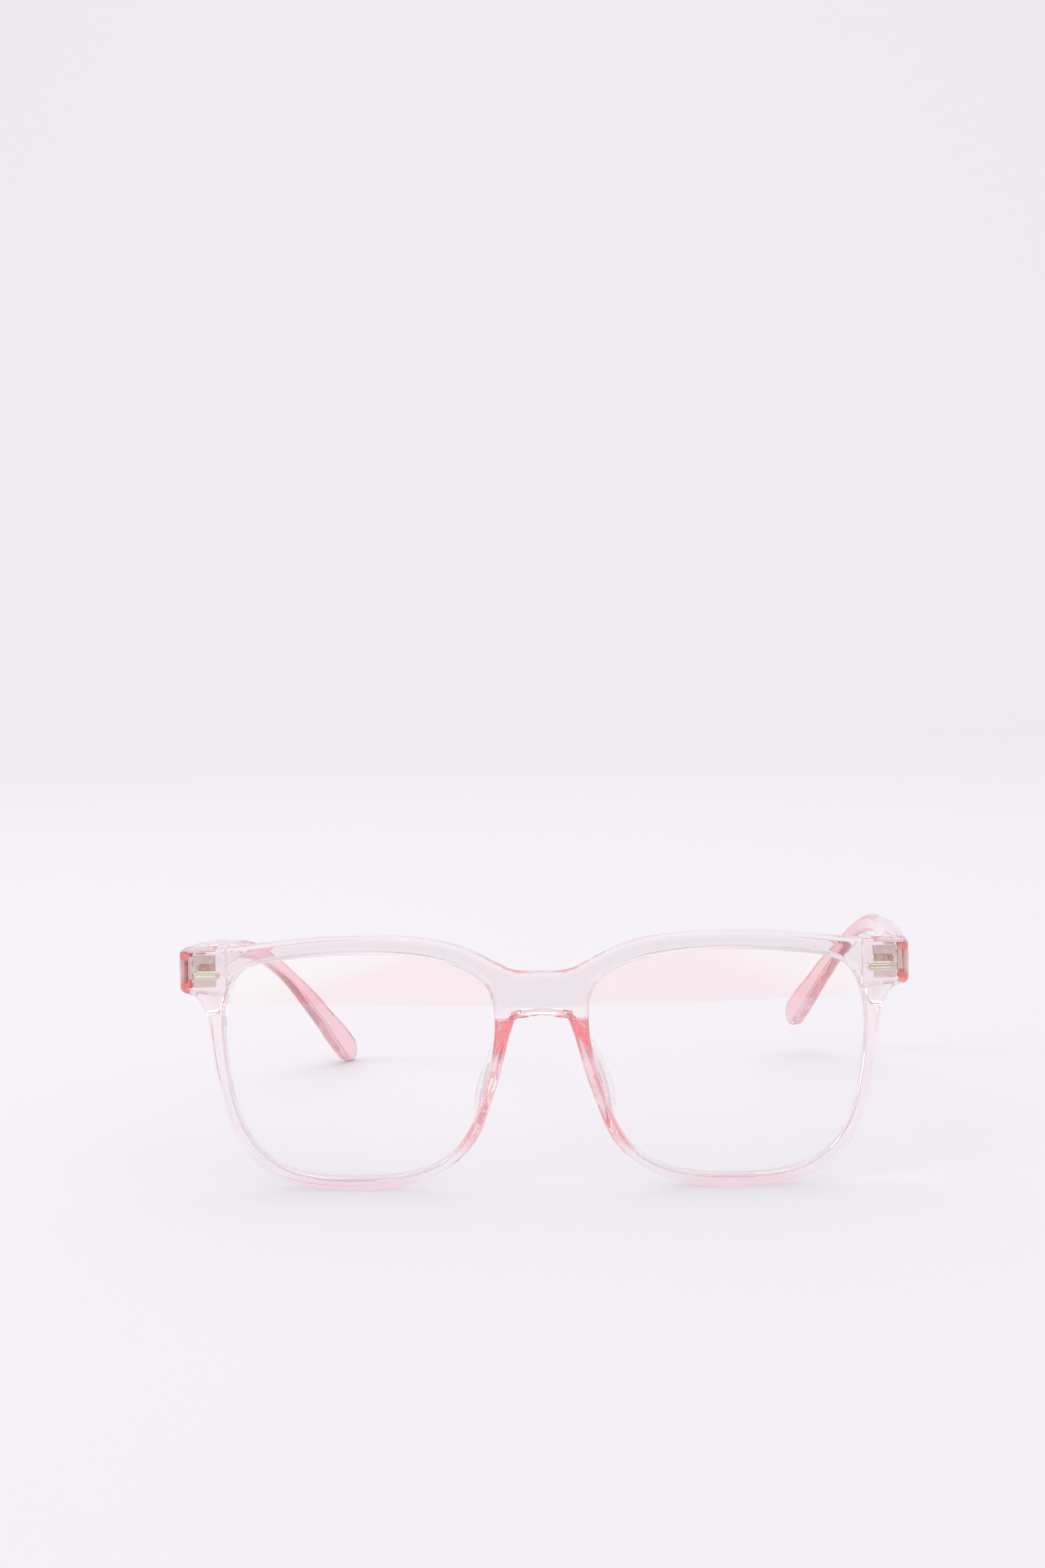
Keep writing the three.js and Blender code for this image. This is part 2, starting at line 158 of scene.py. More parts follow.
def painted_reflection_card():
    """A glowing card past the table's front edge that paints coloured reflections into the mirrors only."""
    material, output = new_material("painted_reflection_card")
    tree = material.node_tree
    coords = add_node(tree, "ShaderNodeTexCoord")
    axes = add_node(tree, "ShaderNodeSeparateXYZ", links={"Vector": coords.outputs["Object"]})
    across = add_node(tree, "ShaderNodeMapRange", {"From Min": -0.4, "From Max": 0.4},
                      {"Value": axes.outputs["X"]})
    ramp = add_node(tree, "ShaderNodeValToRGB", links={"Fac": across.outputs["Result"]})
    # Painted reflections across the card: pale cream on the left, coral in the middle, cream again, then a
    # dark olive band on the right.
    set_stops(ramp, [(0.2, "#fffdf3", 1.0), (0.27, "#ffe1c4", 1.0), (0.32, "#ff6169", 1.0),
                     (0.64, "#ff6169", 1.0), (0.71, "#ffe1bc", 1.0), (0.77, "#ffe7c4", 1.0),
                     (0.785, "#655d45", 1.0)])
    glow = add_node(tree, "ShaderNodeEmission", {"Strength": 1.15}, {"Color": ramp.outputs["Color"]})
    tree.links.new(glow.outputs["Emission"], output.inputs["Surface"])
    corners = [(-SWEEP_SIDE, SWEEP_FRONT, REFLECTION_CARD_LIFT), (SWEEP_SIDE, SWEEP_FRONT, REFLECTION_CARD_LIFT),
               (SWEEP_SIDE, TABLE_EDGE, REFLECTION_CARD_LIFT), (-SWEEP_SIDE, TABLE_EDGE, REFLECTION_CARD_LIFT)]
    card = mesh_object("painted_reflection_card", corners, [(0, 1, 2, 3)], material)
    # Hidden from the camera, from diffuse light and from shadows, so it shows only as painted reflections.
    card.visible_camera = False
    card.visible_diffuse = False
    card.visible_shadow = False
    card.light_linking.receiver_collection = mirrors
    return card


def soft_light(name, place, target, size, power, colour):
    """A rectangular area light aimed at a point."""
    data = bpy.data.lights.new(name, "AREA")
    data.shape = "RECTANGLE"
    data.size, data.size_y = size
    data.energy = power
    data.color = linear(colour)[:3]
    light = bpy.data.objects.new(name, data)
    light.location = place
    light.rotation_euler = (Vector(target) - Vector(place)).to_track_quat("-Z", "Y").to_euler()
    scene.collection.objects.link(light)
    return light


def surround(colour, strength):
    """An even pale surround."""
    world = bpy.data.worlds.new("surround")
    world.use_nodes = True
    background = world.node_tree.nodes["Background"]
    background.inputs["Color"].default_value = linear(colour)
    background.inputs["Strength"].default_value = strength
    scene.world = world


sweep()
painted_reflection_card()
soft_light("key", (-1.3, -0.3, 0.5), (0, 0, 0), (0.35, 0.5), 3.0, "#fffcf6")
soft_light("overhead", (-0.1, 0.1, 1.5), (0, 0, 0), (1.6, 1.6), 5.0, "#fdfcff")
soft_light("backdrop_light", (0, 0.2, 1.6), (0, 1.6, 0.5), (2.4, 0.5), 5.4, "#fdfbff")
soft_light("table_light", (0, -1.2, 0.9), (0, -1.0, 0), (2.2, 0.6), 2.0, "#fdfcff")
surround("#faf7fb", 0.76)


# ---------------------------------------------------------------------------
# Camera. A short telephoto lens a little over half a metre in front of the
# glasses, a hand's width above the table, looking slightly down. Its sizes
# and place are in millimetres, its angles in degrees.
# ---------------------------------------------------------------------------

LENS_LENGTH = 66.42918
SENSOR = 36.0
CAMERA_PLACE = (27.84, -626.6, 127.6)
CAMERA_TURN = 3.151
CAMERA_DIP = 4.968
CAMERA_ROLL = 1.339


def add_camera():
    """The camera, turned from the glasses' own axes."""
    data = bpy.data.cameras.new("camera")
    data.sensor_width = SENSOR
    data.lens = LENS_LENGTH
    data.clip_start = 0.01
    data.clip_end = 20
    camera = bpy.data.objects.new("camera", data)
    turn = (Matrix.Rotation(math.radians(CAMERA_TURN), 4, "Z")
            @ Matrix.Rotation(math.radians(90 - CAMERA_DIP), 4, "X")
            @ Matrix.Rotation(math.radians(-CAMERA_ROLL), 4, "Z"))
    camera.matrix_world = Matrix.Translation(Vector(CAMERA_PLACE) * MM) @ turn
    scene.collection.objects.link(camera)
    scene.camera = camera


add_camera()


# ---------------------------------------------------------------------------
# Front frame. One injection moulding in clear pink polycarbonate: both rims
# with lens grooves, the saddle bridge, the nose pads and the end pieces.
# Polished mould walls leave it glossy and slightly wavy.
# ---------------------------------------------------------------------------

HALF_WIDTH = 71.2
PLATE_DEPTH = 4.2
WRAP_RADIUS = 504.0
WRAP_CENTRE_HEIGHT = 25.0
OUTER_ROUND = 0.7
INNER_ROUND = 0.3
GROOVE = (1.1, 3.0, 0.7)
END_INNER = 62.2
END_BACK = 12.5
END_ROUND = 0.35
SHOULDER_INSET = 1.1
SHOULDER_EXTRA = 1.1
PAD_BOTTOM = 10.0
PAD_TOP = 33.6
PAD_DEPTH = 6.4
PAD_SPLAY = 1.7
PAD_THICKNESS = 2.4
PAD_ROOF = 1.7
PAD_SWELL = 0.8
NOSE_SIDE = 16.0
BRIDGE_FADE = 4.6
SADDLE = {"rise": 1.1, "depth": 1.0, "top": 42.5, "height": 9.0, "reach": 7.8, "fade": 2.8}
CREST_CHAMFER = {"drop": 0.9, "depth": 2.2, "bottom": 40.5, "height": 2.2}
SHOULDER_FOOT = 34.2
SHOULDER_RUN = 0.9
BLOCK_FOOT = 38.42
BLOCK_RUN = 0.3
BLOCK_FLAT = 38.6
HINGE_SEAT = {"x": (64.2, 68.85), "depth": 1.2, "z": (39.4, 45.95)}
WELD = 2e-6
HINGE_SETBACK = 13.9

joints = {joint["name"]: joint for joint in frame["record"]["behaviour"]["joints"]}
hinge_place = Vector(joints["left_temple_fold"]["pos_m"])
FRONT_Y = hinge_place.y / MM - HINGE_SETBACK


def polycarbonate(name, density):
    """Clear pink polycarbonate: nearly colourless where thin, coral where light runs along it."""
    material, output = new_material(name)
    tree = material.node_tree
    coords = add_node(tree, "ShaderNodeTexCoord")
    flow = add_node(tree, "ShaderNodeTexNoise", {"Scale": 140.0, "Detail": 2.0},
                    {"Vector": coords.outputs["Object"]})
    handling = add_node(tree, "ShaderNodeTexNoise", {"Scale": 900.0, "Detail": 6.0},
                        {"Vector": coords.outputs["Object"]})
    gloss = add_node(tree, "ShaderNodeMapRange", {"From Min": 0.35, "From Max": 0.75,
                                                  "To Min": 0.015, "To Max": 0.05},
                     {"Value": handling.outputs["Fac"]})
    bump = add_node(tree, "ShaderNodeBump", {"Strength": 0.06, "Distance": 0.0003},
                    {"Height": flow.outputs["Fac"]})
    shader = add_node(tree, "ShaderNodeBsdfPrincipled",
                      {"Base Color": linear("#fffefe"), "IOR": 1.54,
                       "Transmission Weight": 1.0},
                      {"Roughness": gloss.outputs["Result"], "Normal": bump.outputs["Normal"]})
    dye = add_node(tree, "ShaderNodeVolumeAbsorption",
                   {"Color": linear("#ff6181"), "Density": density})
    tree.links.new(shader.outputs["BSDF"], output.inputs["Surface"])
    tree.links.new(dye.outputs["Volume"], output.inputs["Volume"])
    return material, shader


def smooth_line(points, closed=False, samples=24):
    """A cubic spline by chord length through the points, as a dense row of points."""
    knots = np.array(points, float)
    if closed:
        knots = np.vstack([knots, knots[:1]])
    chords = np.linalg.norm(np.diff(knots, axis=0), axis=1)
    last = len(chords)
    system = np.zeros((last + 1, last + 1))
    target = np.zeros((last + 1, 2))
    slopes = np.diff(knots, axis=0) / chords[:, None]
    for i in range(1, last):
        system[i, i - 1:i + 2] = chords[i - 1], 2 * (chords[i - 1] + chords[i]), chords[i]
        target[i] = 6 * (slopes[i] - slopes[i - 1])
    if closed:
        system[0, [0, 1, last - 1]] = 2 * (chords[0] + chords[-1]), chords[0], chords[-1]
        target[0] = 6 * (slopes[0] - slopes[-1])
        system[last, [0, last]] = 1, -1
    else:
        system[0, 0] = system[last, last] = 1
    bends = np.linalg.solve(system, target)
    row = []
    for i in range(last):
        for t in np.linspace(0, 1, samples, endpoint=False):
            a, b, h = 1 - t, t, chords[i]
            row.append(a * knots[i] + b * knots[i + 1]
                       + ((a ** 3 - a) * bends[i] + (b ** 3 - b) * bends[i + 1]) * h * h / 6)
    row.append(knots[last])
    return np.array(row)


def lengths(line):
    """Distance along a row of points at each of them."""
    return np.concatenate([[0], np.cumsum(np.linalg.norm(np.diff(line, axis=0), axis=1))])


def at_length(line, distance):
    """The point of the line at a distance along it."""
    run = lengths(line)
    return np.array([np.interp(distance, run, line[:, k]) for k in range(line.shape[1])])


def nearest_length(line, point):
    """How far along the line its nearest point lies."""
    return lengths(line)[np.linalg.norm(line - np.array(point), axis=1).argmin()]


def corner(start, tip, end, samples=6):
    """A rounded corner: the quadratic curve between two points of its sides."""
    start, tip, end = (np.array(p, float) for p in (start, tip, end))
    ts = np.linspace(0, 1, samples)[:, None]
    return (1 - ts) ** 2 * start + 2 * ts * (1 - ts) * tip + ts ** 2 * end


def outer_boundary():
    """Half of the front from the top of the bridge, out along the brow, round and back."""
    brow = smooth_line([
        (0, 43), (4.8, 43.1), (9, 44.6), (14.2, 47.2), (20.5, 49.1),
        (33.5, 49.995), (46.5, 49.5), (60, 48), (70.7, 47.24)])
    outer_side = smooth_line([
        (68.2, 38.4), (66.6, 36), (65.4, 31), (64.5, 23.5), (62.5, 15.4), (60, 9.3),
        (56.3, 4.5), (51.8, 1.9), (46.5, 0.6), (40, 0)])
    nose_side = smooth_line([
        (34, 0), (28.5, 0.6), (21.5, 2.9), (16.4, 6.3), (12.9, 10.5),
        (10.3, 16.8), (8, 23.8), (6.1, 31), (5.4, 33)])
    return np.vstack([
        brow,
        corner((70.7, 47.24), (HALF_WIDTH, 47.2), (HALF_WIDTH, 46.7))[1:],
        corner((HALF_WIDTH, 40.3), (HALF_WIDTH, 39.4), (70.4, 39.05)),
        corner((69, 38.7), (68.5, 38.6), (68.2, 38.4), 4),
        outer_side[1:],
        nose_side,
        corner((5.4, 33), (4.9, 34.2), (3.6, 34.35))[1:],
        [(1.8, 34.55), (0, 34.6), (0, 43)]])


def lens_opening():
    """The edge of the left lens opening, from beside the bridge and up round it."""
    return smooth_line([
        (9.1, 34), (10.9, 40.4), (16.4, 44), (26, 46.1), (40, 46.4), (52, 45.3), (59, 43),
        (61.8, 37.6), (62.3, 30), (61.1, 20), (57.3, 9.7), (50, 4), (37.5, 2.4),
        (26, 3.5), (17.6, 7.9), (12.6, 16.5), (9.9, 26)], closed=True)


# Where the rim's sections run: a point on the opening, the point on the outer
# boundary that it faces, and how many steps lead there from the row before.
SECTION_STATIONS = [
    ((9.1, 33.4), (0, 34.6), 0), ((9.35, 36.0), (0, 38.6), 8), ((10.1, 38.9), (0, 43), 8),
    ((11.4, 41.0), (4.8, 43.1), 8), ((13.3, 42.6), (9, 44.6), 8), ((16.8, 44.1), (14.2, 47.2), 10),
    ((21.5, 45.3), (20.5, 49.1), 10), ((33.5, 46.5), (33.5, 50), 16),
    ((46.5, 46.1), (46.5, 49.5), 16), ((56.0, 44.5), (58, 48.2), 14),
    ((58.6, 43.3), (62.2, 47.85), 8), ((59.0, 43.0), (62.9, 47.78), 3),
    ((60.6, 41.0), (70.7, 47.24), 14), ((61.0, 40.3), (HALF_WIDTH, 46.7), 5),
    ((61.6, 38.9), (HALF_WIDTH, 40.3), 8), ((61.75, 38.5), (70.4, 39.05), 5),
    ((61.8, 38.3), (69, 38.7), 4), ((61.9, 37.9), (68.2, 38.4), 4),
    ((62.2, 35.9), (66.6, 36), 8), ((62.3, 34.9), (66.15, 34.8), 4),
    ((62.3, 34.4), (66.0, 34.3), 3), ((62.3, 31), (65.4, 31), 8), ((61.7, 23.5), (64.5, 23.5), 12),
    ((59.8, 15.4), (62.5, 15.4), 14), ((57.3, 9.7), (60, 9.3), 12), ((54.2, 6.1), (56.3, 4.5), 12),
    ((50, 4), (51.8, 1.9), 10), ((40, 2.5), (40, 0), 14), ((34, 2.5), (34, 0), 8),
    ((28.5, 3.0), (28.5, 0.6), 8), ((22.6, 4.8), (21.5, 2.9), 10), ((17.9, 7.7), (16.4, 6.3), 10),
    ((14.9, 11.5), (12.9, 10.5), 10), ((12.4, 17.2), (10.3, 16.8), 14), ((10.5, 23.8), (8, 23.8), 14),
    ((9.25, 31), (6.1, 31), 14), ((9.15, 32.4), (5.4, 33), 5), ((9.1, 33.0), (3.6, 34.35), 7),
    ((9.1, 33.4), (0, 34.6), 6)]


def wrap(x, z):
    """How far back the front's large sphere lies at a place."""
    return (x * x + (z - WRAP_CENTRE_HEIGHT) ** 2) / (2 * WRAP_RADIUS)


def eased(t):
    """A smooth step from 0 to 1."""
    t = min(max(t, 0.0), 1.0)
    return t * t * (3 - 2 * t)


def run_between(start, end, count):
    """Points strictly between two points."""
    start, end = np.array(start, float), np.array(end, float)
    return [start + (end - start) * k / (count + 1) for k in range(1, count + 1)]


def arc(centre, radius, start, end, count):
    """Points on an arc, both ends included; angles in degrees."""
    angles = np.radians(np.linspace(start, end, count))
    return [np.array(centre) + radius * np.array([math.cos(a), math.sin(a)]) for a in angles]


def rim_section(width, wall_round, wall_line, back_edge, back_run):
    """A closed loop of (distance from the opening, depth), round the rim's section.

    The groove and both inner edges are the same everywhere; the outer wall, the
    back edge and the back are what change at the pads and the end pieces.
    """
    inner = INNER_ROUND
    groove_front, groove_back, groove_depth = GROOVE
    front_edge = arc((width - wall_round, wall_round), wall_round, -90, 0, 6)
    return np.array([
        (0, groove_front),
        *arc((inner, inner), inner, 180, 270, 4),
        *run_between((inner, 0), (width - wall_round, 0), 3),
        *front_edge, *wall_line, *back_edge, *back_run,
        *arc((inner, PLATE_DEPTH - inner), inner, 90, 180, 4),
        (0, groove_back), (groove_depth, groove_back), (groove_depth, groove_front)])


def plain_section(width, rounding=OUTER_ROUND):
    """The rim by itself."""
    back = PLATE_DEPTH
    return rim_section(
        width, rounding,
        run_between((width, rounding), (width, back - rounding), 3),
        arc((width - rounding, back - rounding), rounding, 0, 90, 7),
        run_between((width - rounding, back), (INNER_ROUND, back), 6))


def roof(centre, reach):
    """The pad's back: half a curve between a circle and a square standing on its corner."""
    points = []
    for angle in np.radians(np.linspace(0, 180, 7)):
        across, along = math.cos(angle), math.sin(angle)
        points.append(np.array([centre[0] + math.copysign(abs(across) ** PAD_ROOF, across) * reach,
                                centre[1] + along ** PAD_ROOF * reach]))
    return points


def pad_section(width):
    """The rim with a fin behind it that leans away from the nose."""
    crown = PAD_THICKNESS / 2
    tip = (width - PAD_SPLAY - crown, PLATE_DEPTH + PAD_DEPTH - crown)
    foot = (tip[0] - crown, tip[1])
    return rim_section(
        width, OUTER_ROUND,
        run_between((width, OUTER_ROUND), (tip[0] + crown, tip[1]), 3),
        roof(tip, crown),
        run_between(foot, (INNER_ROUND, PLATE_DEPTH), 6))


def block_section(width, inset, back, rounding):
    """The rim with a block behind its outer part, from inset outwards."""
    rounding = min(rounding, max((width - inset) / 2.2, 0.01))
    return rim_section(
        width, OUTER_ROUND,
        run_between((width, OUTER_ROUND), (width, back - rounding), 3),
        arc((width - rounding, back - rounding), rounding, 0, 90, 7),
        [(inset + rounding, back), (inset + 0.3 * rounding, back - 0.3 * rounding),
         (inset, back - rounding), (inset, (back + PLATE_DEPTH) / 2), (inset, PLATE_DEPTH + 0.2),
         (max(inset - 0.2, INNER_ROUND + 0.01), PLATE_DEPTH)])


def section_at(inner, outer):
    """The rim's section on the line from the opening to the outer boundary."""
    width = np.linalg.norm(outer - inner)
    across = (outer - inner) / width
    on_middle = outer[0] < 1e-6
    x, z = outer
    loop = plain_section(width, OUTER_ROUND * eased(x / BRIDGE_FADE))
    nose = 0.0
    if x < NOSE_SIDE and not on_middle and PAD_BOTTOM < z < PAD_TOP:
        nose = math.sin(math.pi * (z - PAD_BOTTOM) / (PAD_TOP - PAD_BOTTOM)) ** PAD_SWELL
    if nose > 0:
        loop = loop * (1 - nose) + pad_section(width) * nose
    if x > END_INNER + 0.02 and z > SHOULDER_FOOT:
        inset = max((END_INNER - inner[0]) / max(across[0], 0.2), INNER_ROUND + 0.1)
        block_depth = END_BACK - wrap(x, z)
        block = eased((z - BLOCK_FOOT) / BLOCK_RUN)
        shoulder = eased((z - SHOULDER_FOOT) / SHOULDER_RUN)
        step = block_section(width, max(inset, SHOULDER_INSET), PLATE_DEPTH + SHOULDER_EXTRA, 0.3)
        loop = loop * (1 - shoulder) + step * shoulder
        if block > 0:
            loop = loop * (1 - block) + block_section(width, inset, block_depth, END_ROUND) * block
    points = []
    for distance, depth in loop:
        px, pz = inner + across * distance
        points.append((px, depth + wrap(px, pz), pz))
    points = np.array(points)
    if x > END_INNER + 0.02 and z > BLOCK_FLAT:
        points[:, 1] = np.minimum(points[:, 1], END_BACK)
    return points


def saddle(points):
    """Raises the bridge's underside towards the back, and chamfers the back of its top."""
    x, y, z = points.T
    depth = y - wrap(x, z)
    hollow, chamfer = SADDLE, CREST_CHAMFER
    rearward = np.clip((depth - hollow["depth"]) / (PLATE_DEPTH - hollow["depth"]), 0, 1)
    low = np.clip((hollow["top"] - z) / hollow["height"], 0, 1)
    near = np.clip((hollow["reach"] - np.abs(x)) / hollow["fade"], 0, 1)
    near = near * near * (3 - 2 * near)
    high = np.clip((z - chamfer["bottom"]) / chamfer["height"], 0, 1)
    behind = np.clip((depth - chamfer["depth"]) / (PLATE_DEPTH - chamfer["depth"]), 0, 1)
    lift = near * (hollow["rise"] * rearward * low - chamfer["drop"] * behind * high)
    return np.stack([x, y, z + lift], axis=1)


def section_rows():
    """The rim's sections in order, round the lens opening."""
    opening, outer = lens_opening(), outer_boundary()
    opening_length = lengths(opening)[-1]
    rows = []
    before = None
    for inner_point, outer_point, steps in SECTION_STATIONS:
        here = [nearest_length(opening, inner_point), nearest_length(outer, outer_point)]
        if before is None:
            start = here
        else:
            while here[0] < before[0]:
                here[0] += opening_length
            while here[1] < before[1]:
                here[1] += lengths(outer)[-1]
            for k in range(1, steps + 1):
                s, t = (b + (h - b) * k / steps for b, h in zip(before, here))
                rows.append(section_at(at_length(opening, s % opening_length),
                                       at_length(outer, t % lengths(outer)[-1])))
        before = here
    return rows


def half_front():
    """Vertices and quads of the wearer's left half, open only on the middle plane."""
    rows = section_rows()
    size = len(rows[0])
    vertices = saddle(np.vstack(rows))
    faces = []
    for i in range(len(rows)):
        j = (i + 1) % len(rows)
        for k in range(size):
            m = (k + 1) % size
            quad = (i * size + k, i * size + m, j * size + m, j * size + k)
            if all(vertices[q][0] < 1e-4 for q in quad):
                continue
            faces.append(quad)
    return vertices, faces


def cleaned(piece, weld=True):
    """Turns a mesh's faces outward, after welding its points and dropping empty faces."""
    bm = bmesh.new()
    bm.from_mesh(piece.data)
    if weld:
        bmesh.ops.remove_doubles(bm, verts=bm.verts, dist=WELD)
        bmesh.ops.dissolve_degenerate(bm, edges=bm.edges, dist=WELD / 2)
    bmesh.ops.recalc_face_normals(bm, faces=bm.faces)
    bm.to_mesh(piece.data)
    bm.free()


def finished(piece, sharp_angle=38):
    """Cleans a mesh, marks its sharp edges and keeps its flats flat."""
    cleaned(piece)
    piece.data.shade_smooth()
    piece.data.set_sharp_from_angle(angle=math.radians(sharp_angle))
    weighted = piece.modifiers.new("flats", "WEIGHTED_NORMAL")
    weighted.keep_sharp = True
    return piece


def to_metres(points):
    """Millimetres from the front's foremost plane to metres in the object's frame."""
    return [(x * MM, (y + FRONT_Y) * MM, z * MM) for x, y, z in points]


def cut(piece, cutter):
    """Takes the cutter's shape out of the piece, and removes the cutter."""
    boolean = piece.modifiers.new("cut", "BOOLEAN")
    boolean.object = cutter
    boolean.operation = "DIFFERENCE"
    boolean.solver = "EXACT"
    bpy.context.view_layer.update()
    evaluated = piece.evaluated_get(bpy.context.evaluated_depsgraph_get())
    mesh = bpy.data.meshes.new_from_object(evaluated)
    piece.modifiers.clear()
    piece.data = mesh
    bpy.data.objects.remove(cutter)
    return piece


def box_cutter(low, high, material):
    """A box between two corners, in millimetres."""
    xs, ys, zs = zip(low, high)
    corners = [(x, y, z) for x in xs for y in ys for z in zs]
    faces = [(0, 1, 3, 2), (4, 6, 7, 5), (0, 4, 5, 1), (2, 3, 7, 6), (0, 2, 6, 4), (1, 5, 7, 3)]
    return mesh_object("cutter", to_metres(corners), faces, material)


def front_frame(material):
    """Both halves joined on the middle plane, with a hinge seat cut in each end piece."""
    vertices, faces = half_front()
    count = len(vertices)
    mirrored = vertices * np.array([-1, 1, 1])
    faces = faces + [tuple(reversed([q + count for q in quad])) for quad in faces]
    piece = mesh_object("front", to_metres(np.vstack([vertices, mirrored])), faces, material)
    cleaned(piece)
    bottom, top = HINGE_SEAT["z"]
    for side, _ in SIDES:
        low_x, high_x = sorted(side * x for x in HINGE_SEAT["x"])
        seat = box_cutter((low_x, END_BACK - HINGE_SEAT["depth"], bottom),
                          (high_x, END_BACK + 1, top), material)
        piece = cut(piece, seat)
    return finished(piece)


# Where painted coral glow lies on the front, standing in for light carried inside the plastic: how far
# aside of the middle, and how high.
NOSE_STRIPS = ((0.0, 17.5), (-1.0, 33.5))
ARCH_ENDS = ((3.0, 6.0), (33.4, 34.9))
END_EDGE_BELOW = ((69.1, 71.4), (39.2, 41.0))
END_EDGE_ABOVE = ((69.1, 71.4), (45.5, 46.8))
END_WALL = ((70.2, 71.4), (41.0, 45.5))
CREST = ((0.0, 7.3), (41.6, 46.0))
STRIP_TOP = 34.0
# How high the painted pink glow along the rims' bottoms starts to fade, and where it is gone.
FOOT_GLOW_HEIGHTS = (0.6, 3.0)
SWAY = 1.2
# The colour of the painted coral glow on the end pieces' edges.
GLOW_CORAL = "#ffa6a2"


def between(tree, value, low, high):
    """1 where a value in metres lies between two sizes in millimetres."""
    return add_node(tree, "ShaderNodeMath", {1: (low + high) / 2 * MM, 2: (high - low) / 2 * MM},
                    {0: value}, operation="COMPARE").outputs["Value"]


def all_of(tree, masks):
    """1 where every mask is 1."""
    result = masks[0]
    for mask in masks[1:]:
        result = add_node(tree, "ShaderNodeMath", links={0: result, 1: mask},
                          operation="MULTIPLY").outputs["Value"]
    return result


def laid_over(tree, kind, mask, under, over):
    """One value, or another over it where the mask is 1. Either may be a node's output."""
    values, links = {}, {"Factor": mask}
    for name, value in (("A", under), ("B", over)):
        chosen = links if isinstance(value, bpy.types.NodeSocket) else values
        chosen[name] = value
    return mixed(add_node(tree, "ShaderNodeMix", values, links, data_type=kind))


def painted_nose_glow(tree, coords, height):
    """Painted coral glow in uneven bands down the sides of the nose, standing in for light carried inside
    the pads: its colour and how clear it stays.
    """
    glow_wobble = add_node(tree, "ShaderNodeTexNoise", {"Scale": 260.0, "Detail": 1.5},
                        {"Vector": coords.outputs["Object"]})
    sway = add_node(tree, "ShaderNodeMapRange", {"To Min": -SWAY * MM, "To Max": SWAY * MM},
                    {"Value": glow_wobble.outputs["Fac"]})
    swayed = add_node(tree, "ShaderNodeMath", links={0: height, 1: sway.outputs["Result"]},
                      operation="ADD")
    level = add_node(tree, "ShaderNodeMapRange", {"From Min": 0.0, "From Max": STRIP_TOP * MM},
                     {"Value": swayed.outputs["Value"]})
    glow_bands = add_node(tree, "ShaderNodeValToRGB", links={"Fac": level.outputs["Result"]})
    # Painted glow bands up the nose sides: pale low down, pinker bands part way up, and the strongest coral
    # at the top, where the plastic is also made less clear.
    set_stops(glow_bands, [(0.0, "#fff3f7", 1.0), (0.2, "#fffcfd", 1.0), (0.3, "#ffd7da", 1.0),
                       (0.43, "#ffdadf", 1.0), (0.5, "#ffedf3", 1.0), (0.6, "#ffd7da", 1.0),
                       (0.72, "#ffecf3", 1.0), (0.82, "#ffc5c8", 0.93), (1.0, "#ffbfc2", 0.9)])
    return glow_bands.outputs["Color"], glow_bands.outputs["Alpha"]


def front_polycarbonate():
    """The front's plastic: clear, with painted coral glow at the nose, the crest and the end edges, and a
    painted pink glow along the rims' bottoms.
    """
    material, shader = polycarbonate("polycarbonate_front", 13.0)
    tree = material.node_tree
    coords = add_node(tree, "ShaderNodeTexCoord")
    axes = add_node(tree, "ShaderNodeSeparateXYZ", links={"Vector": coords.outputs["Object"]})
    aside = add_node(tree, "ShaderNodeMath", links={0: axes.outputs["X"]},
                     operation="ABSOLUTE").outputs["Value"]
    depth, height = axes.outputs["Y"], axes.outputs["Z"]
    facing = add_node(tree, "ShaderNodeNewGeometry")
    facing_axes = add_node(tree, "ShaderNodeSeparateXYZ", links={"Vector": facing.outputs["Normal"]})
    upward = add_node(tree, "ShaderNodeMath", {1: 0.6}, {0: facing_axes.outputs["Z"]},
                      operation="GREATER_THAN").outputs["Value"]
    forward = add_node(tree, "ShaderNodeMath", {1: -0.6}, {0: facing_axes.outputs["Y"]},
                       operation="LESS_THAN").outputs["Value"]
    plate = between(tree, depth, FRONT_Y - 1.0, FRONT_Y + PLATE_DEPTH + 1.2)
    # Painted pink glow along the rims' bottoms, white from 3 mm up.
    foot_glow = add_node(tree, "ShaderNodeMapRange",
                    {"From Min": FOOT_GLOW_HEIGHTS[0] * MM, "From Max": FOOT_GLOW_HEIGHTS[1] * MM},
                    {"Value": height}, interpolation_type="SMOOTHSTEP")
    colour = laid_over(tree, "RGBA", foot_glow.outputs["Result"], linear("#ffecf2"), linear("#fffefe"))
    clear = 1.0
    # Each layer of painted glow: where it lies, which faces carry it, its colour and how clear it stays.
    # The crest's glow lies on upward faces only, the end pieces' on forward faces only.
    layers = [
        (NOSE_STRIPS, [plate], *painted_nose_glow(tree, coords, height)),
        (ARCH_ENDS, [], linear("#ffbcbf"), 0.95),
        (END_EDGE_BELOW, [forward], linear(GLOW_CORAL), 0.35),
        (END_EDGE_ABOVE, [forward], linear(GLOW_CORAL), 0.35),
        (END_WALL, [forward], linear("#ffe5e5"), 0.6),
        (CREST, [upward], linear("#ffadb3"), 1.0)]
    for (across, heights), faces, glow_colour, clearness in layers:
        mask = all_of(tree, [between(tree, aside, *across), between(tree, height, *heights), *faces])
        colour = laid_over(tree, "RGBA", mask, colour, glow_colour)
        clear = laid_over(tree, "FLOAT", mask, clear, clearness)
    tree.links.new(colour, shader.inputs["Base Color"])
    tree.links.new(clear, shader.inputs["Transmission Weight"])
    return material


plastic = front_polycarbonate()
front = front_frame(plastic)
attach(front, "front")
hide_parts("front_frame")
# Light passes the clear plastic, so the rims cast no dark shadow.
front.visible_shadow = False


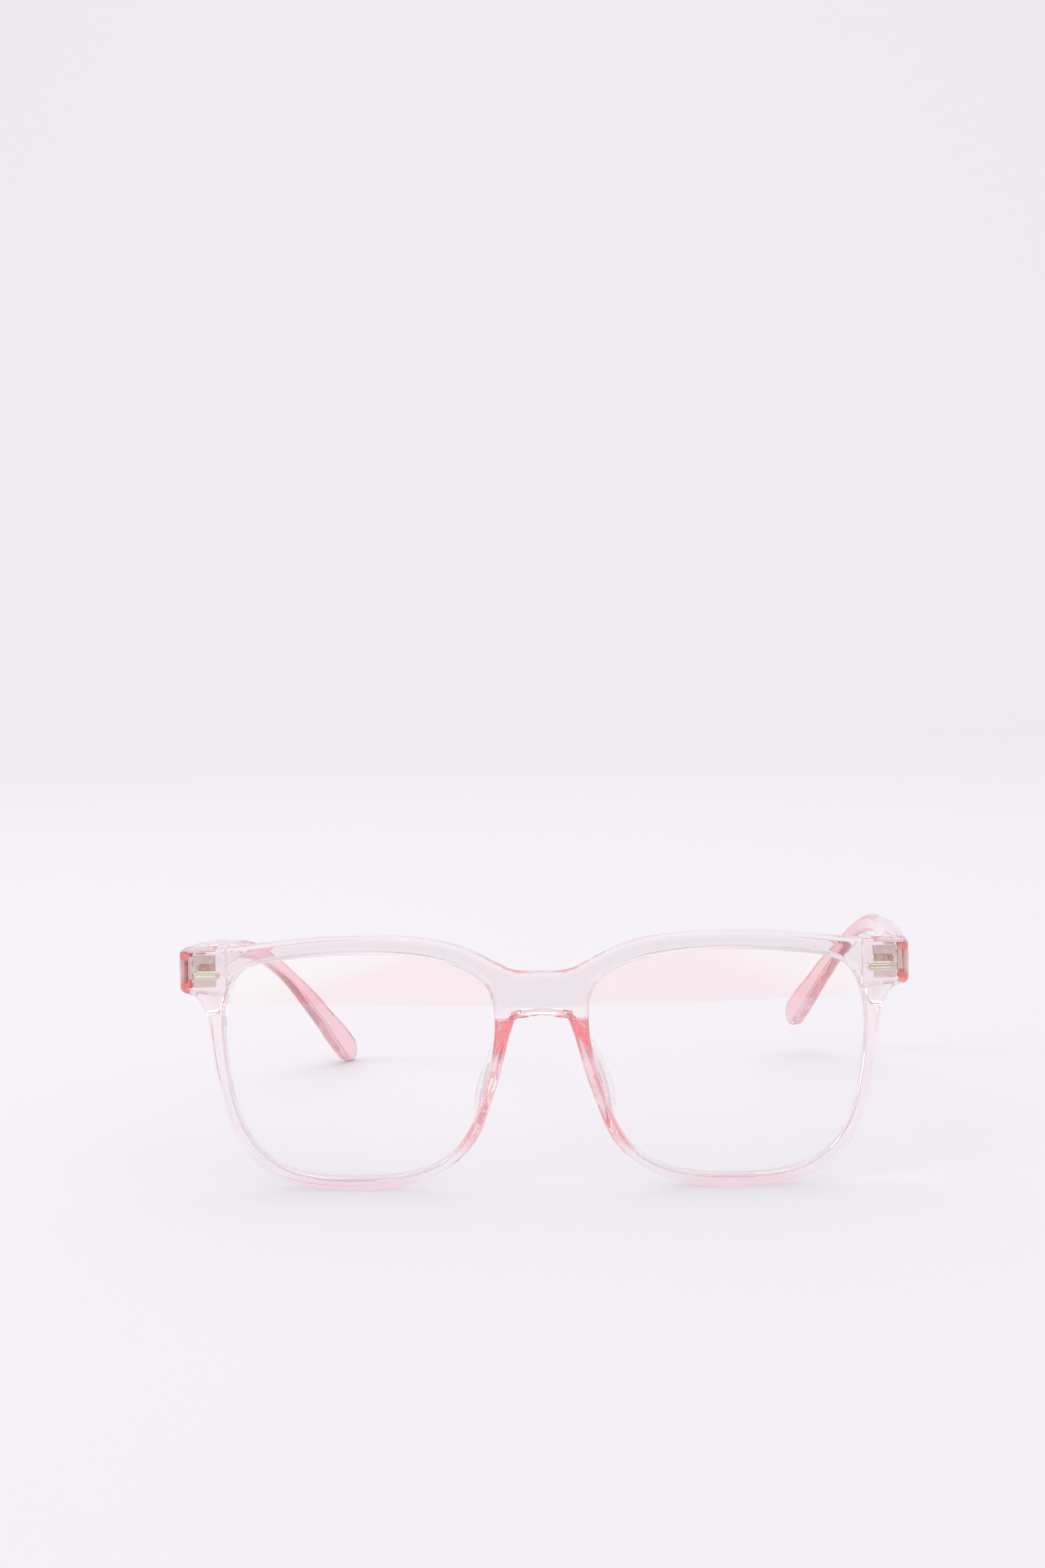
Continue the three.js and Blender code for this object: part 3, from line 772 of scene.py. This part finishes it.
# ---------------------------------------------------------------------------
# Lenses. Two clear plano blanks with a hard mirror coating, edged to the
# openings and snapped into the rims' grooves. They follow the front's wrap.
# ---------------------------------------------------------------------------

LENS_CENTRE = (36.0, 24.5)
LENS_SEAT = 0.6
LENS_FRONT = 1.2
LENS_BACK = 2.9
LENS_SAFETY_BEVEL = 0.12
LENS_BANDS = 18
LENS_STEPS = 240


def coated_lens():
    """Hard-coated clear resin: a clean mirror at its faces, no colour through it."""
    material, output = new_material("coated_lens")
    tree = material.node_tree
    coords = add_node(tree, "ShaderNodeTexCoord")
    wipes = add_node(tree, "ShaderNodeMapping", {"Rotation": (0.0, 0.5, 0.0), "Scale": (18.0, 90.0, 120.0)},
                     {"Vector": coords.outputs["Object"]})
    haze = add_node(tree, "ShaderNodeTexNoise", {"Scale": 2.0, "Detail": 5.0, "Roughness": 0.6},
                    {"Vector": wipes.outputs["Vector"]})
    gloss = add_node(tree, "ShaderNodeMapRange",
                     {"From Min": 0.45, "From Max": 0.8, "To Min": 0.0, "To Max": 0.012},
                     {"Value": haze.outputs["Fac"]})
    shader = add_node(tree, "ShaderNodeBsdfPrincipled",
                      {"Base Color": linear("#ffffff"), "IOR": 1.56,
                       "Transmission Weight": 1.0},
                      {"Roughness": gloss.outputs["Result"]})
    tree.links.new(shader.outputs["BSDF"], output.inputs["Surface"])
    return material


def ring_faces(rings, size, base=0):
    """Quads between each ring of points and the next, numbered from the base."""
    faces = []
    for r in range(rings - 1):
        here, there = base + r * size, base + (r + 1) * size
        for k in range(size):
            m = (k + 1) % size
            faces.append((here + k, here + m, there + m, there + k))
    return faces


def lens(side, word, material):
    """A lens with two dished faces, a bevelled edge band and finely divided rings."""
    opening = lens_opening()
    spacing = lengths(opening)[-1] / LENS_STEPS
    edge = np.array([at_length(opening, spacing * k) for k in range(LENS_STEPS)])
    tangent = np.roll(edge, -1, axis=0) - np.roll(edge, 1, axis=0)
    tangent /= np.linalg.norm(tangent, axis=1)[:, None]
    outward = np.stack([-tangent[:, 1], tangent[:, 0]], axis=1)
    centre = np.array(LENS_CENTRE)
    bevel = LENS_SAFETY_BEVEL
    rim = edge + outward * LENS_SEAT
    inset = edge + outward * (LENS_SEAT - bevel)
    rings = [(centre + (inset - centre) * k / LENS_BANDS, LENS_FRONT) for k in range(1, LENS_BANDS + 1)]
    rings += [(rim, LENS_FRONT + bevel), (rim, LENS_BACK - bevel)]
    rings += [(centre + (inset - centre) * k / LENS_BANDS, LENS_BACK) for k in range(LENS_BANDS, 0, -1)]
    vertices = []
    for ring, depth in rings:
        vertices += [(side * x, depth + wrap(x, z), z) for x, z in ring]
    n = LENS_STEPS
    faces = ring_faces(len(rings), n)
    last = (len(rings) - 1) * n
    for base, depth in ((0, LENS_FRONT), (last, LENS_BACK)):
        hub = len(vertices)
        vertices.append((side * centre[0], depth + wrap(*centre), centre[1]))
        faces += [(base + k, base + (k + 1) % n, hub) for k in range(n)]
    return finished(mesh_object(f"{word}_lens", to_metres(vertices), faces, material), 30)


lens_clear = coated_lens()
for side, word in SIDES:
    piece = lens(side, word, lens_clear)
    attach(piece, "front")
    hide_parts(f"lens_{word}")
    # Light passes the clear lens, so it casts no dark shadow.
    piece.visible_shadow = False
    # The lens shows the card's painted reflections.
    mirrors.objects.link(piece)


# ---------------------------------------------------------------------------
# Trims. Pill-shaped pressings in pale nickel-plated brass with a crowned
# middle bar and a bevelled rim, polished, pinned through the end pieces.
# ---------------------------------------------------------------------------

TRIM = {"x": 65.7, "z": 42.5, "length": 5.3, "height": 1.8}
TRIM_STEPS = 96
PIN_SPACING = 2.6
PIN_STEPS = 20

# Along a pin, from inside the plaque: how deep, and the radius there.
PIN_PROFILE = [(0.3, 0.4), (1.75, 0.4), (1.88, 0.28)]

# From the middle line out: how far across (1 is the rim) and how proud.
TRIM_PROFILE = [
    (0.0, 0.45), (0.2, 0.445), (0.38, 0.42), (0.46, 0.38), (0.5, 0.30), (0.54, 0.27), (0.58, 0.29),
    (0.64, 0.33), (0.74, 0.32), (0.88, 0.24), (0.97, 0.12), (1.0, 0.02), (1.0, -0.4), (0.94, -0.5)]


def polished_nickel():
    """Mirror-bright pale nickel with a warm cast and faint polishing lines along it."""
    material, output = new_material("polished_nickel")
    tree = material.node_tree
    coords = add_node(tree, "ShaderNodeTexCoord")
    stretched = add_node(tree, "ShaderNodeMapping", {"Scale": (900.0, 4000.0, 9000.0)},
                         {"Vector": coords.outputs["Object"]})
    lines = add_node(tree, "ShaderNodeTexNoise", {"Scale": 1.0, "Detail": 3.0},
                     {"Vector": stretched.outputs["Vector"]})
    gloss = add_node(tree, "ShaderNodeMapRange",
                     {"From Min": 0.3, "From Max": 0.7, "To Min": 0.07, "To Max": 0.16},
                     {"Value": lines.outputs["Fac"]})
    bump = add_node(tree, "ShaderNodeBump", {"Strength": 0.08, "Distance": 0.00004},
                    {"Height": lines.outputs["Fac"]})
    shader = add_node(tree, "ShaderNodeBsdfPrincipled",
                      {"Base Color": linear("#e8e4d6"), "Metallic": 1.0},
                      {"Roughness": gloss.outputs["Result"], "Normal": bump.outputs["Normal"]})
    tree.links.new(shader.outputs["BSDF"], output.inputs["Surface"])
    return material


def on_end_piece(points, side):
    """Turns points made about the origin onto the face of an end piece."""
    turn = math.atan(TRIM["x"] / WRAP_RADIUS)
    placed = []
    for x, y, z in points:
        px = x * math.cos(turn) - y * math.sin(turn) + TRIM["x"]
        py = x * math.sin(turn) + y * math.cos(turn) + wrap(TRIM["x"], TRIM["z"] + z)
        placed.append((side * px, py, z + TRIM["z"]))
    return placed


def trim(side, word, material):
    """The pill from rings about its middle line, with its two pins behind."""
    radius = TRIM["height"] / 2
    reach = TRIM["length"] / 2 - radius
    vertices = []
    n = TRIM_STEPS
    for across, proud in TRIM_PROFILE:
        for k in range(n):
            angle = 2 * math.pi * (k + 0.5) / n
            middle = reach if math.cos(angle) > 0 else -reach
            vertices.append((middle + across * radius * math.cos(angle), -proud,
                             across * radius * math.sin(angle)))
    faces = ring_faces(len(TRIM_PROFILE), n)
    last = (len(TRIM_PROFILE) - 1) * n
    faces.append(tuple(last + k for k in range(n)))
    for pin_side in (-1, 1):
        base = len(vertices)
        for depth, r in PIN_PROFILE:
            for k in range(PIN_STEPS):
                angle = 2 * math.pi * k / PIN_STEPS
                vertices.append((pin_side * PIN_SPACING / 2 + r * math.cos(angle), depth,
                                 r * math.sin(angle)))
        faces += ring_faces(len(PIN_PROFILE), PIN_STEPS, base)
        end = base + (len(PIN_PROFILE) - 1) * PIN_STEPS
        faces.append(tuple(end + k for k in range(PIN_STEPS)))
        faces.append(tuple(base + PIN_STEPS - 1 - k for k in range(PIN_STEPS)))
    placed = to_metres(on_end_piece(vertices, side))
    return finished(mesh_object(f"{word}_trim", placed, faces, material), 30)


nickel = polished_nickel()
for side, word in SIDES:
    piece = trim(side, word, nickel)
    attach(piece, "front")
    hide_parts(f"front_trim_{word}")
    # The trim shows the card's painted reflections.
    mirrors.objects.link(piece)


# ---------------------------------------------------------------------------
# Hinges. Five-knuckle nickel silver hinges: a plate with three knuckles sunk
# in each end piece, and one with two knuckles sunk in each temple.
# ---------------------------------------------------------------------------

HINGE_X = 67.4
HINGE_Y = HINGE_SETBACK
KNUCKLE_RADIUS = 1.3
KNUCKLE_BOTTOM = 39.5
KNUCKLE_HEIGHT = 1.18
KNUCKLE_GAP = 0.1
BORE_RADIUS = 0.6
HINGE_PLATE = 1.1
FRONT_PLATE_WIDTH = 4.4
TEMPLE_FRONT = 12.8
TEMPLE_PLATE_LENGTH = 7.6
PLATE_PLAY = 0.1
POCKET = {"bottom": 40.1, "top": 45.3, "back": 20.9, "outer": 70.1}
HINGE_BEVEL = 0.14
WEB_BEVEL = 0.08


def nickel_silver():
    """Stamped nickel silver, tumbled: a soft pale sheen with a fine grain."""
    material, output = new_material("nickel_silver")
    tree = material.node_tree
    coords = add_node(tree, "ShaderNodeTexCoord")
    grain = add_node(tree, "ShaderNodeTexNoise", {"Scale": 6000.0, "Detail": 4.0},
                     {"Vector": coords.outputs["Object"]})
    blotch = add_node(tree, "ShaderNodeTexNoise", {"Scale": 500.0, "Detail": 2.0},
                      {"Vector": coords.outputs["Object"]})
    gloss = add_node(tree, "ShaderNodeMapRange",
                     {"From Min": 0.3, "From Max": 0.7, "To Min": 0.1, "To Max": 0.2},
                     {"Value": blotch.outputs["Fac"]})
    bump = add_node(tree, "ShaderNodeBump", {"Strength": 0.12, "Distance": 0.00003},
                    {"Height": grain.outputs["Fac"]})
    shader = add_node(tree, "ShaderNodeBsdfPrincipled",
                      {"Base Color": linear("#f2ece6"), "Metallic": 1.0},
                      {"Roughness": gloss.outputs["Result"], "Normal": bump.outputs["Normal"]})
    tree.links.new(shader.outputs["BSDF"], output.inputs["Surface"])
    return material


def bevelled_block(low, high, bevel):
    """Vertices and faces of a block with rounded edges."""
    bm = bmesh.new()
    bmesh.ops.create_cube(bm, size=1.0)
    for vertex in bm.verts:
        vertex.co = Vector([lo + (hi - lo) * (c + 0.5) for lo, hi, c in zip(low, high, vertex.co)])
    bmesh.ops.bevel(bm, geom=bm.edges[:], offset=bevel, segments=2, profile=0.5, affect="EDGES")
    bm.verts.index_update()
    vertices = [tuple(v.co) for v in bm.verts]
    faces = [tuple(v.index for v in face.verts) for face in bm.faces]
    bm.free()
    return vertices, faces


def turned(profile, centre, segments=40, closed=True):
    """Vertices and faces of a profile of (radius, height) turned about an upright axis."""
    vertices = []
    for radius, height in profile:
        for k in range(segments):
            angle = 2 * math.pi * k / segments
            vertices.append((centre[0] + radius * math.cos(angle),
                             centre[1] + radius * math.sin(angle), height))
    faces = ring_faces(len(profile), segments)
    last = (len(profile) - 1) * segments
    if closed:
        faces += [(last + k, last + (k + 1) % segments, (k + 1) % segments, k) for k in range(segments)]
    else:
        faces.append(tuple(range(segments - 1, -1, -1)))
        faces.append(tuple(last + k for k in range(segments)))
    return vertices, faces


def gathered(name, parts, side, material):
    """One object from several closed shapes, mirrored for the right side."""
    vertices, faces = [], []
    for part_vertices, part_faces in parts:
        base = len(vertices)
        vertices += [(side * x, y, z) for x, y, z in part_vertices]
        faces += [tuple(base + i for i in face) for face in part_faces]
    return finished(mesh_object(name, to_metres(vertices), faces, material), 30)


def knuckle_floor(index):
    """How high a knuckle's underside lies, counted from the lowest."""
    return KNUCKLE_BOTTOM + index * (KNUCKLE_HEIGHT + KNUCKLE_GAP)


KNUCKLES_TOP = knuckle_floor(4) + KNUCKLE_HEIGHT


def knuckle(index):
    """One knuckle: a turned barrel with a bore and bevelled edges."""
    floor = knuckle_floor(index)
    top = floor + KNUCKLE_HEIGHT
    edge = HINGE_BEVEL
    r = KNUCKLE_RADIUS
    profile = [(BORE_RADIUS, floor + edge / 2), (BORE_RADIUS + edge / 2, floor), (r - edge, floor),
               (r - edge * 0.3, floor + edge * 0.3), (r, floor + edge), (r, top - edge),
               (r - edge * 0.3, top - edge * 0.3), (r - edge, top), (BORE_RADIUS + edge / 2, top),
               (BORE_RADIUS, top - edge / 2)]
    return turned(profile, (HINGE_X, HINGE_Y))


def web(index, low_x, high_x, low_y, high_y):
    """The block that joins a knuckle to its plate."""
    floor = knuckle_floor(index)
    return bevelled_block((low_x, low_y, floor), (high_x, high_y, floor + KNUCKLE_HEIGHT), WEB_BEVEL)


def front_hinge(side, word, material):
    """The half sunk in the end piece: its plate, and the lowest, middle and top knuckles."""
    right = HINGE_X + KNUCKLE_RADIUS
    parts = [bevelled_block((right - FRONT_PLATE_WIDTH, END_BACK - HINGE_PLATE, KNUCKLE_BOTTOM),
                            (right, END_BACK - 0.02, KNUCKLES_TOP), HINGE_BEVEL)]
    for index in (0, 2, 4):
        parts.append(knuckle(index))
        parts.append(web(index, HINGE_X - KNUCKLE_RADIUS + 0.1, HINGE_X - BORE_RADIUS - 0.05,
                         END_BACK - 0.4, HINGE_Y))
        parts.append(web(index, HINGE_X + BORE_RADIUS + 0.05, right - 0.02, END_BACK - 0.4, HINGE_Y))
    return gathered(f"{word}_front_hinge", parts, side, material)


def temple_hinge(side, word, material):
    """The half sunk in the temple: its plate and the two knuckles in between."""
    outer = POCKET["outer"] - PLATE_PLAY
    inner = outer - HINGE_PLATE
    front_end = TEMPLE_FRONT + PLATE_PLAY
    parts = [bevelled_block((inner, front_end, POCKET["bottom"] + PLATE_PLAY),
                            (outer, front_end + TEMPLE_PLATE_LENGTH, POCKET["top"] - PLATE_PLAY),
                            HINGE_BEVEL)]
    for index in (1, 3):
        parts.append(knuckle(index))
        parts.append(web(index, HINGE_X + BORE_RADIUS + 0.05, inner + 0.3, front_end,
                         HINGE_Y + KNUCKLE_RADIUS - 0.1))
    return gathered(f"{word}_temple_hinge", parts, side, material)


hinge_metal = nickel_silver()
for side, word in SIDES:
    fixed = front_hinge(side, word, hinge_metal)
    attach(fixed, "front")
    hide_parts(f"front_hinge_{word}")
    moving = temple_hinge(side, word, hinge_metal)
    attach(moving, f"{word}_temple")
    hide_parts(f"temple_hinge_{word}")


# ---------------------------------------------------------------------------
# Hinge screws. Slotted cheese-head screws in plain steel, dropped through the
# five knuckles from above.
# ---------------------------------------------------------------------------

SHANK_RADIUS = 0.5
HEAD_RADIUS = 1.15
HEAD_HEIGHT = 0.55
SLOT_WIDTH = 0.3
SLOT_DEPTH = 0.3
HEAD_GAP = 0.02
SCREW_END = KNUCKLE_BOTTOM - 0.2


def screw_steel():
    """Bright machined steel with fine turning rings."""
    material, output = new_material("turned_steel")
    tree = material.node_tree
    coords = add_node(tree, "ShaderNodeTexCoord")
    rings = add_node(tree, "ShaderNodeTexWave", {"Scale": 2500.0, "Distortion": 0.6, "Detail": 2.0},
                     {"Vector": coords.outputs["Object"]}, bands_direction="Z")
    gloss = add_node(tree, "ShaderNodeMapRange", {"To Min": 0.14, "To Max": 0.26},
                     {"Value": rings.outputs["Fac"]})
    bump = add_node(tree, "ShaderNodeBump", {"Strength": 0.15, "Distance": 0.00003},
                    {"Height": rings.outputs["Fac"]})
    shader = add_node(tree, "ShaderNodeBsdfPrincipled",
                      {"Base Color": linear("#c9c5bf"), "Metallic": 1.0},
                      {"Roughness": gloss.outputs["Result"], "Normal": bump.outputs["Normal"]})
    tree.links.new(shader.outputs["BSDF"], output.inputs["Surface"])
    return material


def hinge_screw(side, word, material):
    """A turned screw with a rounded head, and the slot cut across it."""
    seat = KNUCKLES_TOP + HEAD_GAP
    end = SCREW_END
    r = HEAD_RADIUS
    h = HEAD_HEIGHT
    profile = [(SHANK_RADIUS - 0.12, end), (SHANK_RADIUS, end + 0.12), (SHANK_RADIUS, seat),
               (r - 0.06, seat), (r, seat + 0.06), (r, seat + h * 0.55), (r * 0.97, seat + h * 0.72),
               (r * 0.9, seat + h * 0.88), (r * 0.78, seat + h * 0.97), (r * 0.5, seat + h)]
    turning = turned(profile, (HINGE_X, HINGE_Y), closed=False)
    piece = gathered(f"{word}_screw", [turning], side, material)
    piece.modifiers.clear()
    x = side * HINGE_X
    slot = box_cutter((x - 2, HINGE_Y - SLOT_WIDTH / 2, seat + h - SLOT_DEPTH),
                      (x + 2, HINGE_Y + SLOT_WIDTH / 2, seat + 2), material)
    return finished(cut(piece, slot), 30)


bright_steel = screw_steel()
for side, word in SIDES:
    piece = hinge_screw(side, word, bright_steel)
    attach(piece, "front")
    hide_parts(f"hinge_screw_{word}")


# ---------------------------------------------------------------------------
# Temples. Solid mouldings in the same clear pink polycarbonate: straight from
# the hinge, then bent down behind the ear and in, with paddle ends.
# ---------------------------------------------------------------------------

TEMPLE_LENGTH = 145.0
TEMPLE_INNER = 68.8
TEMPLE_CENTRE_HEIGHT = 43.1
TEMPLE_BOW = (-2.1, 1.4)
EAR_BEND = {"start": 47.0, "length": 81.0, "down": 32.8, "inward": 17.9}
TIP_ROUND = 5.0
TIP_SECTIONS = 18
TEMPLE_STRIDE = 0.5
TEMPLE_CHAMFER = 0.3

# Degrees down from level: one temple stands a little higher than the other.
TEMPLE_SLOPE = {"left": 1.8, "right": 4.82}

# How far behind the sections the bend of the centre line runs.
CENTRE_LAG = 1.4

# Distance along the temple, and its height or thickness there.
TEMPLE_HEIGHTS = [(0, 8.1), (15, 8.0), (35, 6.8), (60, 4.0), (100, 3.6), (122, 5.0), (136, 6.3), (145, 6.3)]
TEMPLE_THICKNESSES = [(0, 2.4), (30, 2.49), (100, 2.49), (132, 3.2), (145, 3.2)]
TEMPLE_EDGE = 0.8
SIDE_STEPS = 5


def tapered(stations, s):
    """The size at a distance along the temple, eased from each station to the next."""
    for (s0, v0), (s1, v1) in zip(stations, stations[1:]):
        if s <= s1:
            return v0 + (v1 - v0) * eased((s - s0) / (s1 - s0))
    return stations[-1][1]


def soft_rectangle(width, height, rounding):
    """Points round a rectangle with rounded corners, about its middle."""
    r = min(rounding, width / 2 - 0.01, height / 2 - 0.01)
    corners = []
    for cx, cz, start in ((1, 1, 0), (-1, 1, 90), (-1, -1, 180), (1, -1, 270)):
        centre = (cx * (width / 2 - r), cz * (height / 2 - r))
        corners.append(arc(centre, r, start, start + 90, 7))
    points = []
    for here, following in zip(corners, corners[1:] + corners[:1]):
        points += here + run_between(here[-1], following[0], SIDE_STEPS)
    return points


def temple_polycarbonate():
    """The same plastic, with a painted pink glow towards the tips that stands in for light running down the
    temples.
    """
    material, shader = polycarbonate("polycarbonate_temple", 6.0)
    tree = material.node_tree
    coords = add_node(tree, "ShaderNodeTexCoord")
    axes = add_node(tree, "ShaderNodeSeparateXYZ", links={"Vector": coords.outputs["Object"]})
    along = add_node(tree, "ShaderNodeMapRange", {"From Min": -0.06, "From Max": 0.075},
                     {"Value": axes.outputs["Y"]})
    ramp = add_node(tree, "ShaderNodeValToRGB", links={"Fac": along.outputs["Result"]})
    # Painted pink glow: white at the hinge end and pinker towards the tips, where the plastic is also made
    # a little less clear.
    set_stops(ramp, [(0.35, "#fffdfd", 1.0), (0.62, "#ffcbd3", 0.98), (0.95, "#ffd7de", 0.96)])
    tree.links.new(ramp.outputs["Color"], shader.inputs["Base Color"])
    tree.links.new(ramp.outputs["Alpha"], shader.inputs["Transmission Weight"])
    return material


def temple_frame(s, slope):
    """The temple's direction and its section's two axes at a distance along it."""
    bend = eased((s - EAR_BEND["start"]) / EAR_BEND["length"])
    bow = TEMPLE_BOW[0] + (TEMPLE_BOW[1] - TEMPLE_BOW[0]) * min(1.0, max(s, 0.0) / EAR_BEND["start"])
    fall = math.radians(slope + EAR_BEND["down"] * bend)
    turn = math.radians(bow + EAR_BEND["inward"] * bend)
    along = np.array([-math.cos(fall) * math.sin(turn), math.cos(fall) * math.cos(turn),
                      -math.sin(fall)])
    across = np.array([math.cos(turn), math.sin(turn), 0])
    square = eased(s / 8)
    up = np.array([0, 0, 1.0]) * (1 - square) + np.cross(across, along) * square
    return along, across, up


def temple(word, side, material):
    """Sections carried along the temple's centre line, then the hinge pocket cut out."""
    slope = TEMPLE_SLOPE[word]
    round_from = TEMPLE_LENGTH - TIP_ROUND
    stations = [0.0, 0.12, TEMPLE_CHAMFER] + list(np.arange(1.0, round_from, 1.0))
    stations += [round_from + TIP_ROUND * math.sin(a)
                 for a in np.radians(np.linspace(0, 84, TIP_SECTIONS))]
    distances = np.arange(0, TEMPLE_LENGTH + 2 * TEMPLE_STRIDE, TEMPLE_STRIDE)
    steps = np.array([temple_frame(s - CENTRE_LAG, slope)[0] * TEMPLE_STRIDE for s in distances[:-1]])
    start = np.array([(HALF_WIDTH + TEMPLE_INNER) / 2, TEMPLE_FRONT, TEMPLE_CENTRE_HEIGHT])
    line = start + np.vstack([np.zeros(3), np.cumsum(steps, axis=0)])
    vertices, size = [], 0
    for s in stations:
        middle = np.array([np.interp(s, distances, line[:, k]) for k in range(3)])
        along, across, up = temple_frame(s, slope)
        past = max(0.0, (s - TEMPLE_LENGTH + TIP_ROUND) / TIP_ROUND)
        rounding = math.sqrt(max(1 - past * past, 0.0))
        width = tapered(TEMPLE_THICKNESSES, s) * (0.5 + 0.5 * rounding)
        height = tapered(TEMPLE_HEIGHTS, s) * rounding
        if s < TEMPLE_CHAMFER:
            width -= TEMPLE_CHAMFER - s
            height -= TEMPLE_CHAMFER - s
        ring = soft_rectangle(width, height, TEMPLE_EDGE + 0.35 * eased((s - 5) / 15))
        size = len(ring)
        vertices += [tuple(middle + across * u + up * v) for u, v in ring]
    faces = ring_faces(len(stations), size)
    faces.append(tuple(range(size - 1, -1, -1)))
    faces.append(tuple((len(stations) - 1) * size + k for k in range(size)))
    vertices = [(side * x, y, z) for x, y, z in vertices]
    piece = mesh_object(f"{word}_temple", to_metres(vertices), faces, material)
    cleaned(piece, weld=False)
    low_x, high_x = sorted((side * (TEMPLE_INNER - 2), side * POCKET["outer"]))
    pocket = box_cutter((low_x, TEMPLE_FRONT - 1, POCKET["bottom"]),
                        (high_x, POCKET["back"], POCKET["top"]), material)
    return finished(cut(piece, pocket), 38)


temple_plastic = temple_polycarbonate()
for side, word in SIDES:
    piece = temple(word, side, temple_plastic)
    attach(piece, f"{word}_temple")
    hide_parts(f"temple_{word}")
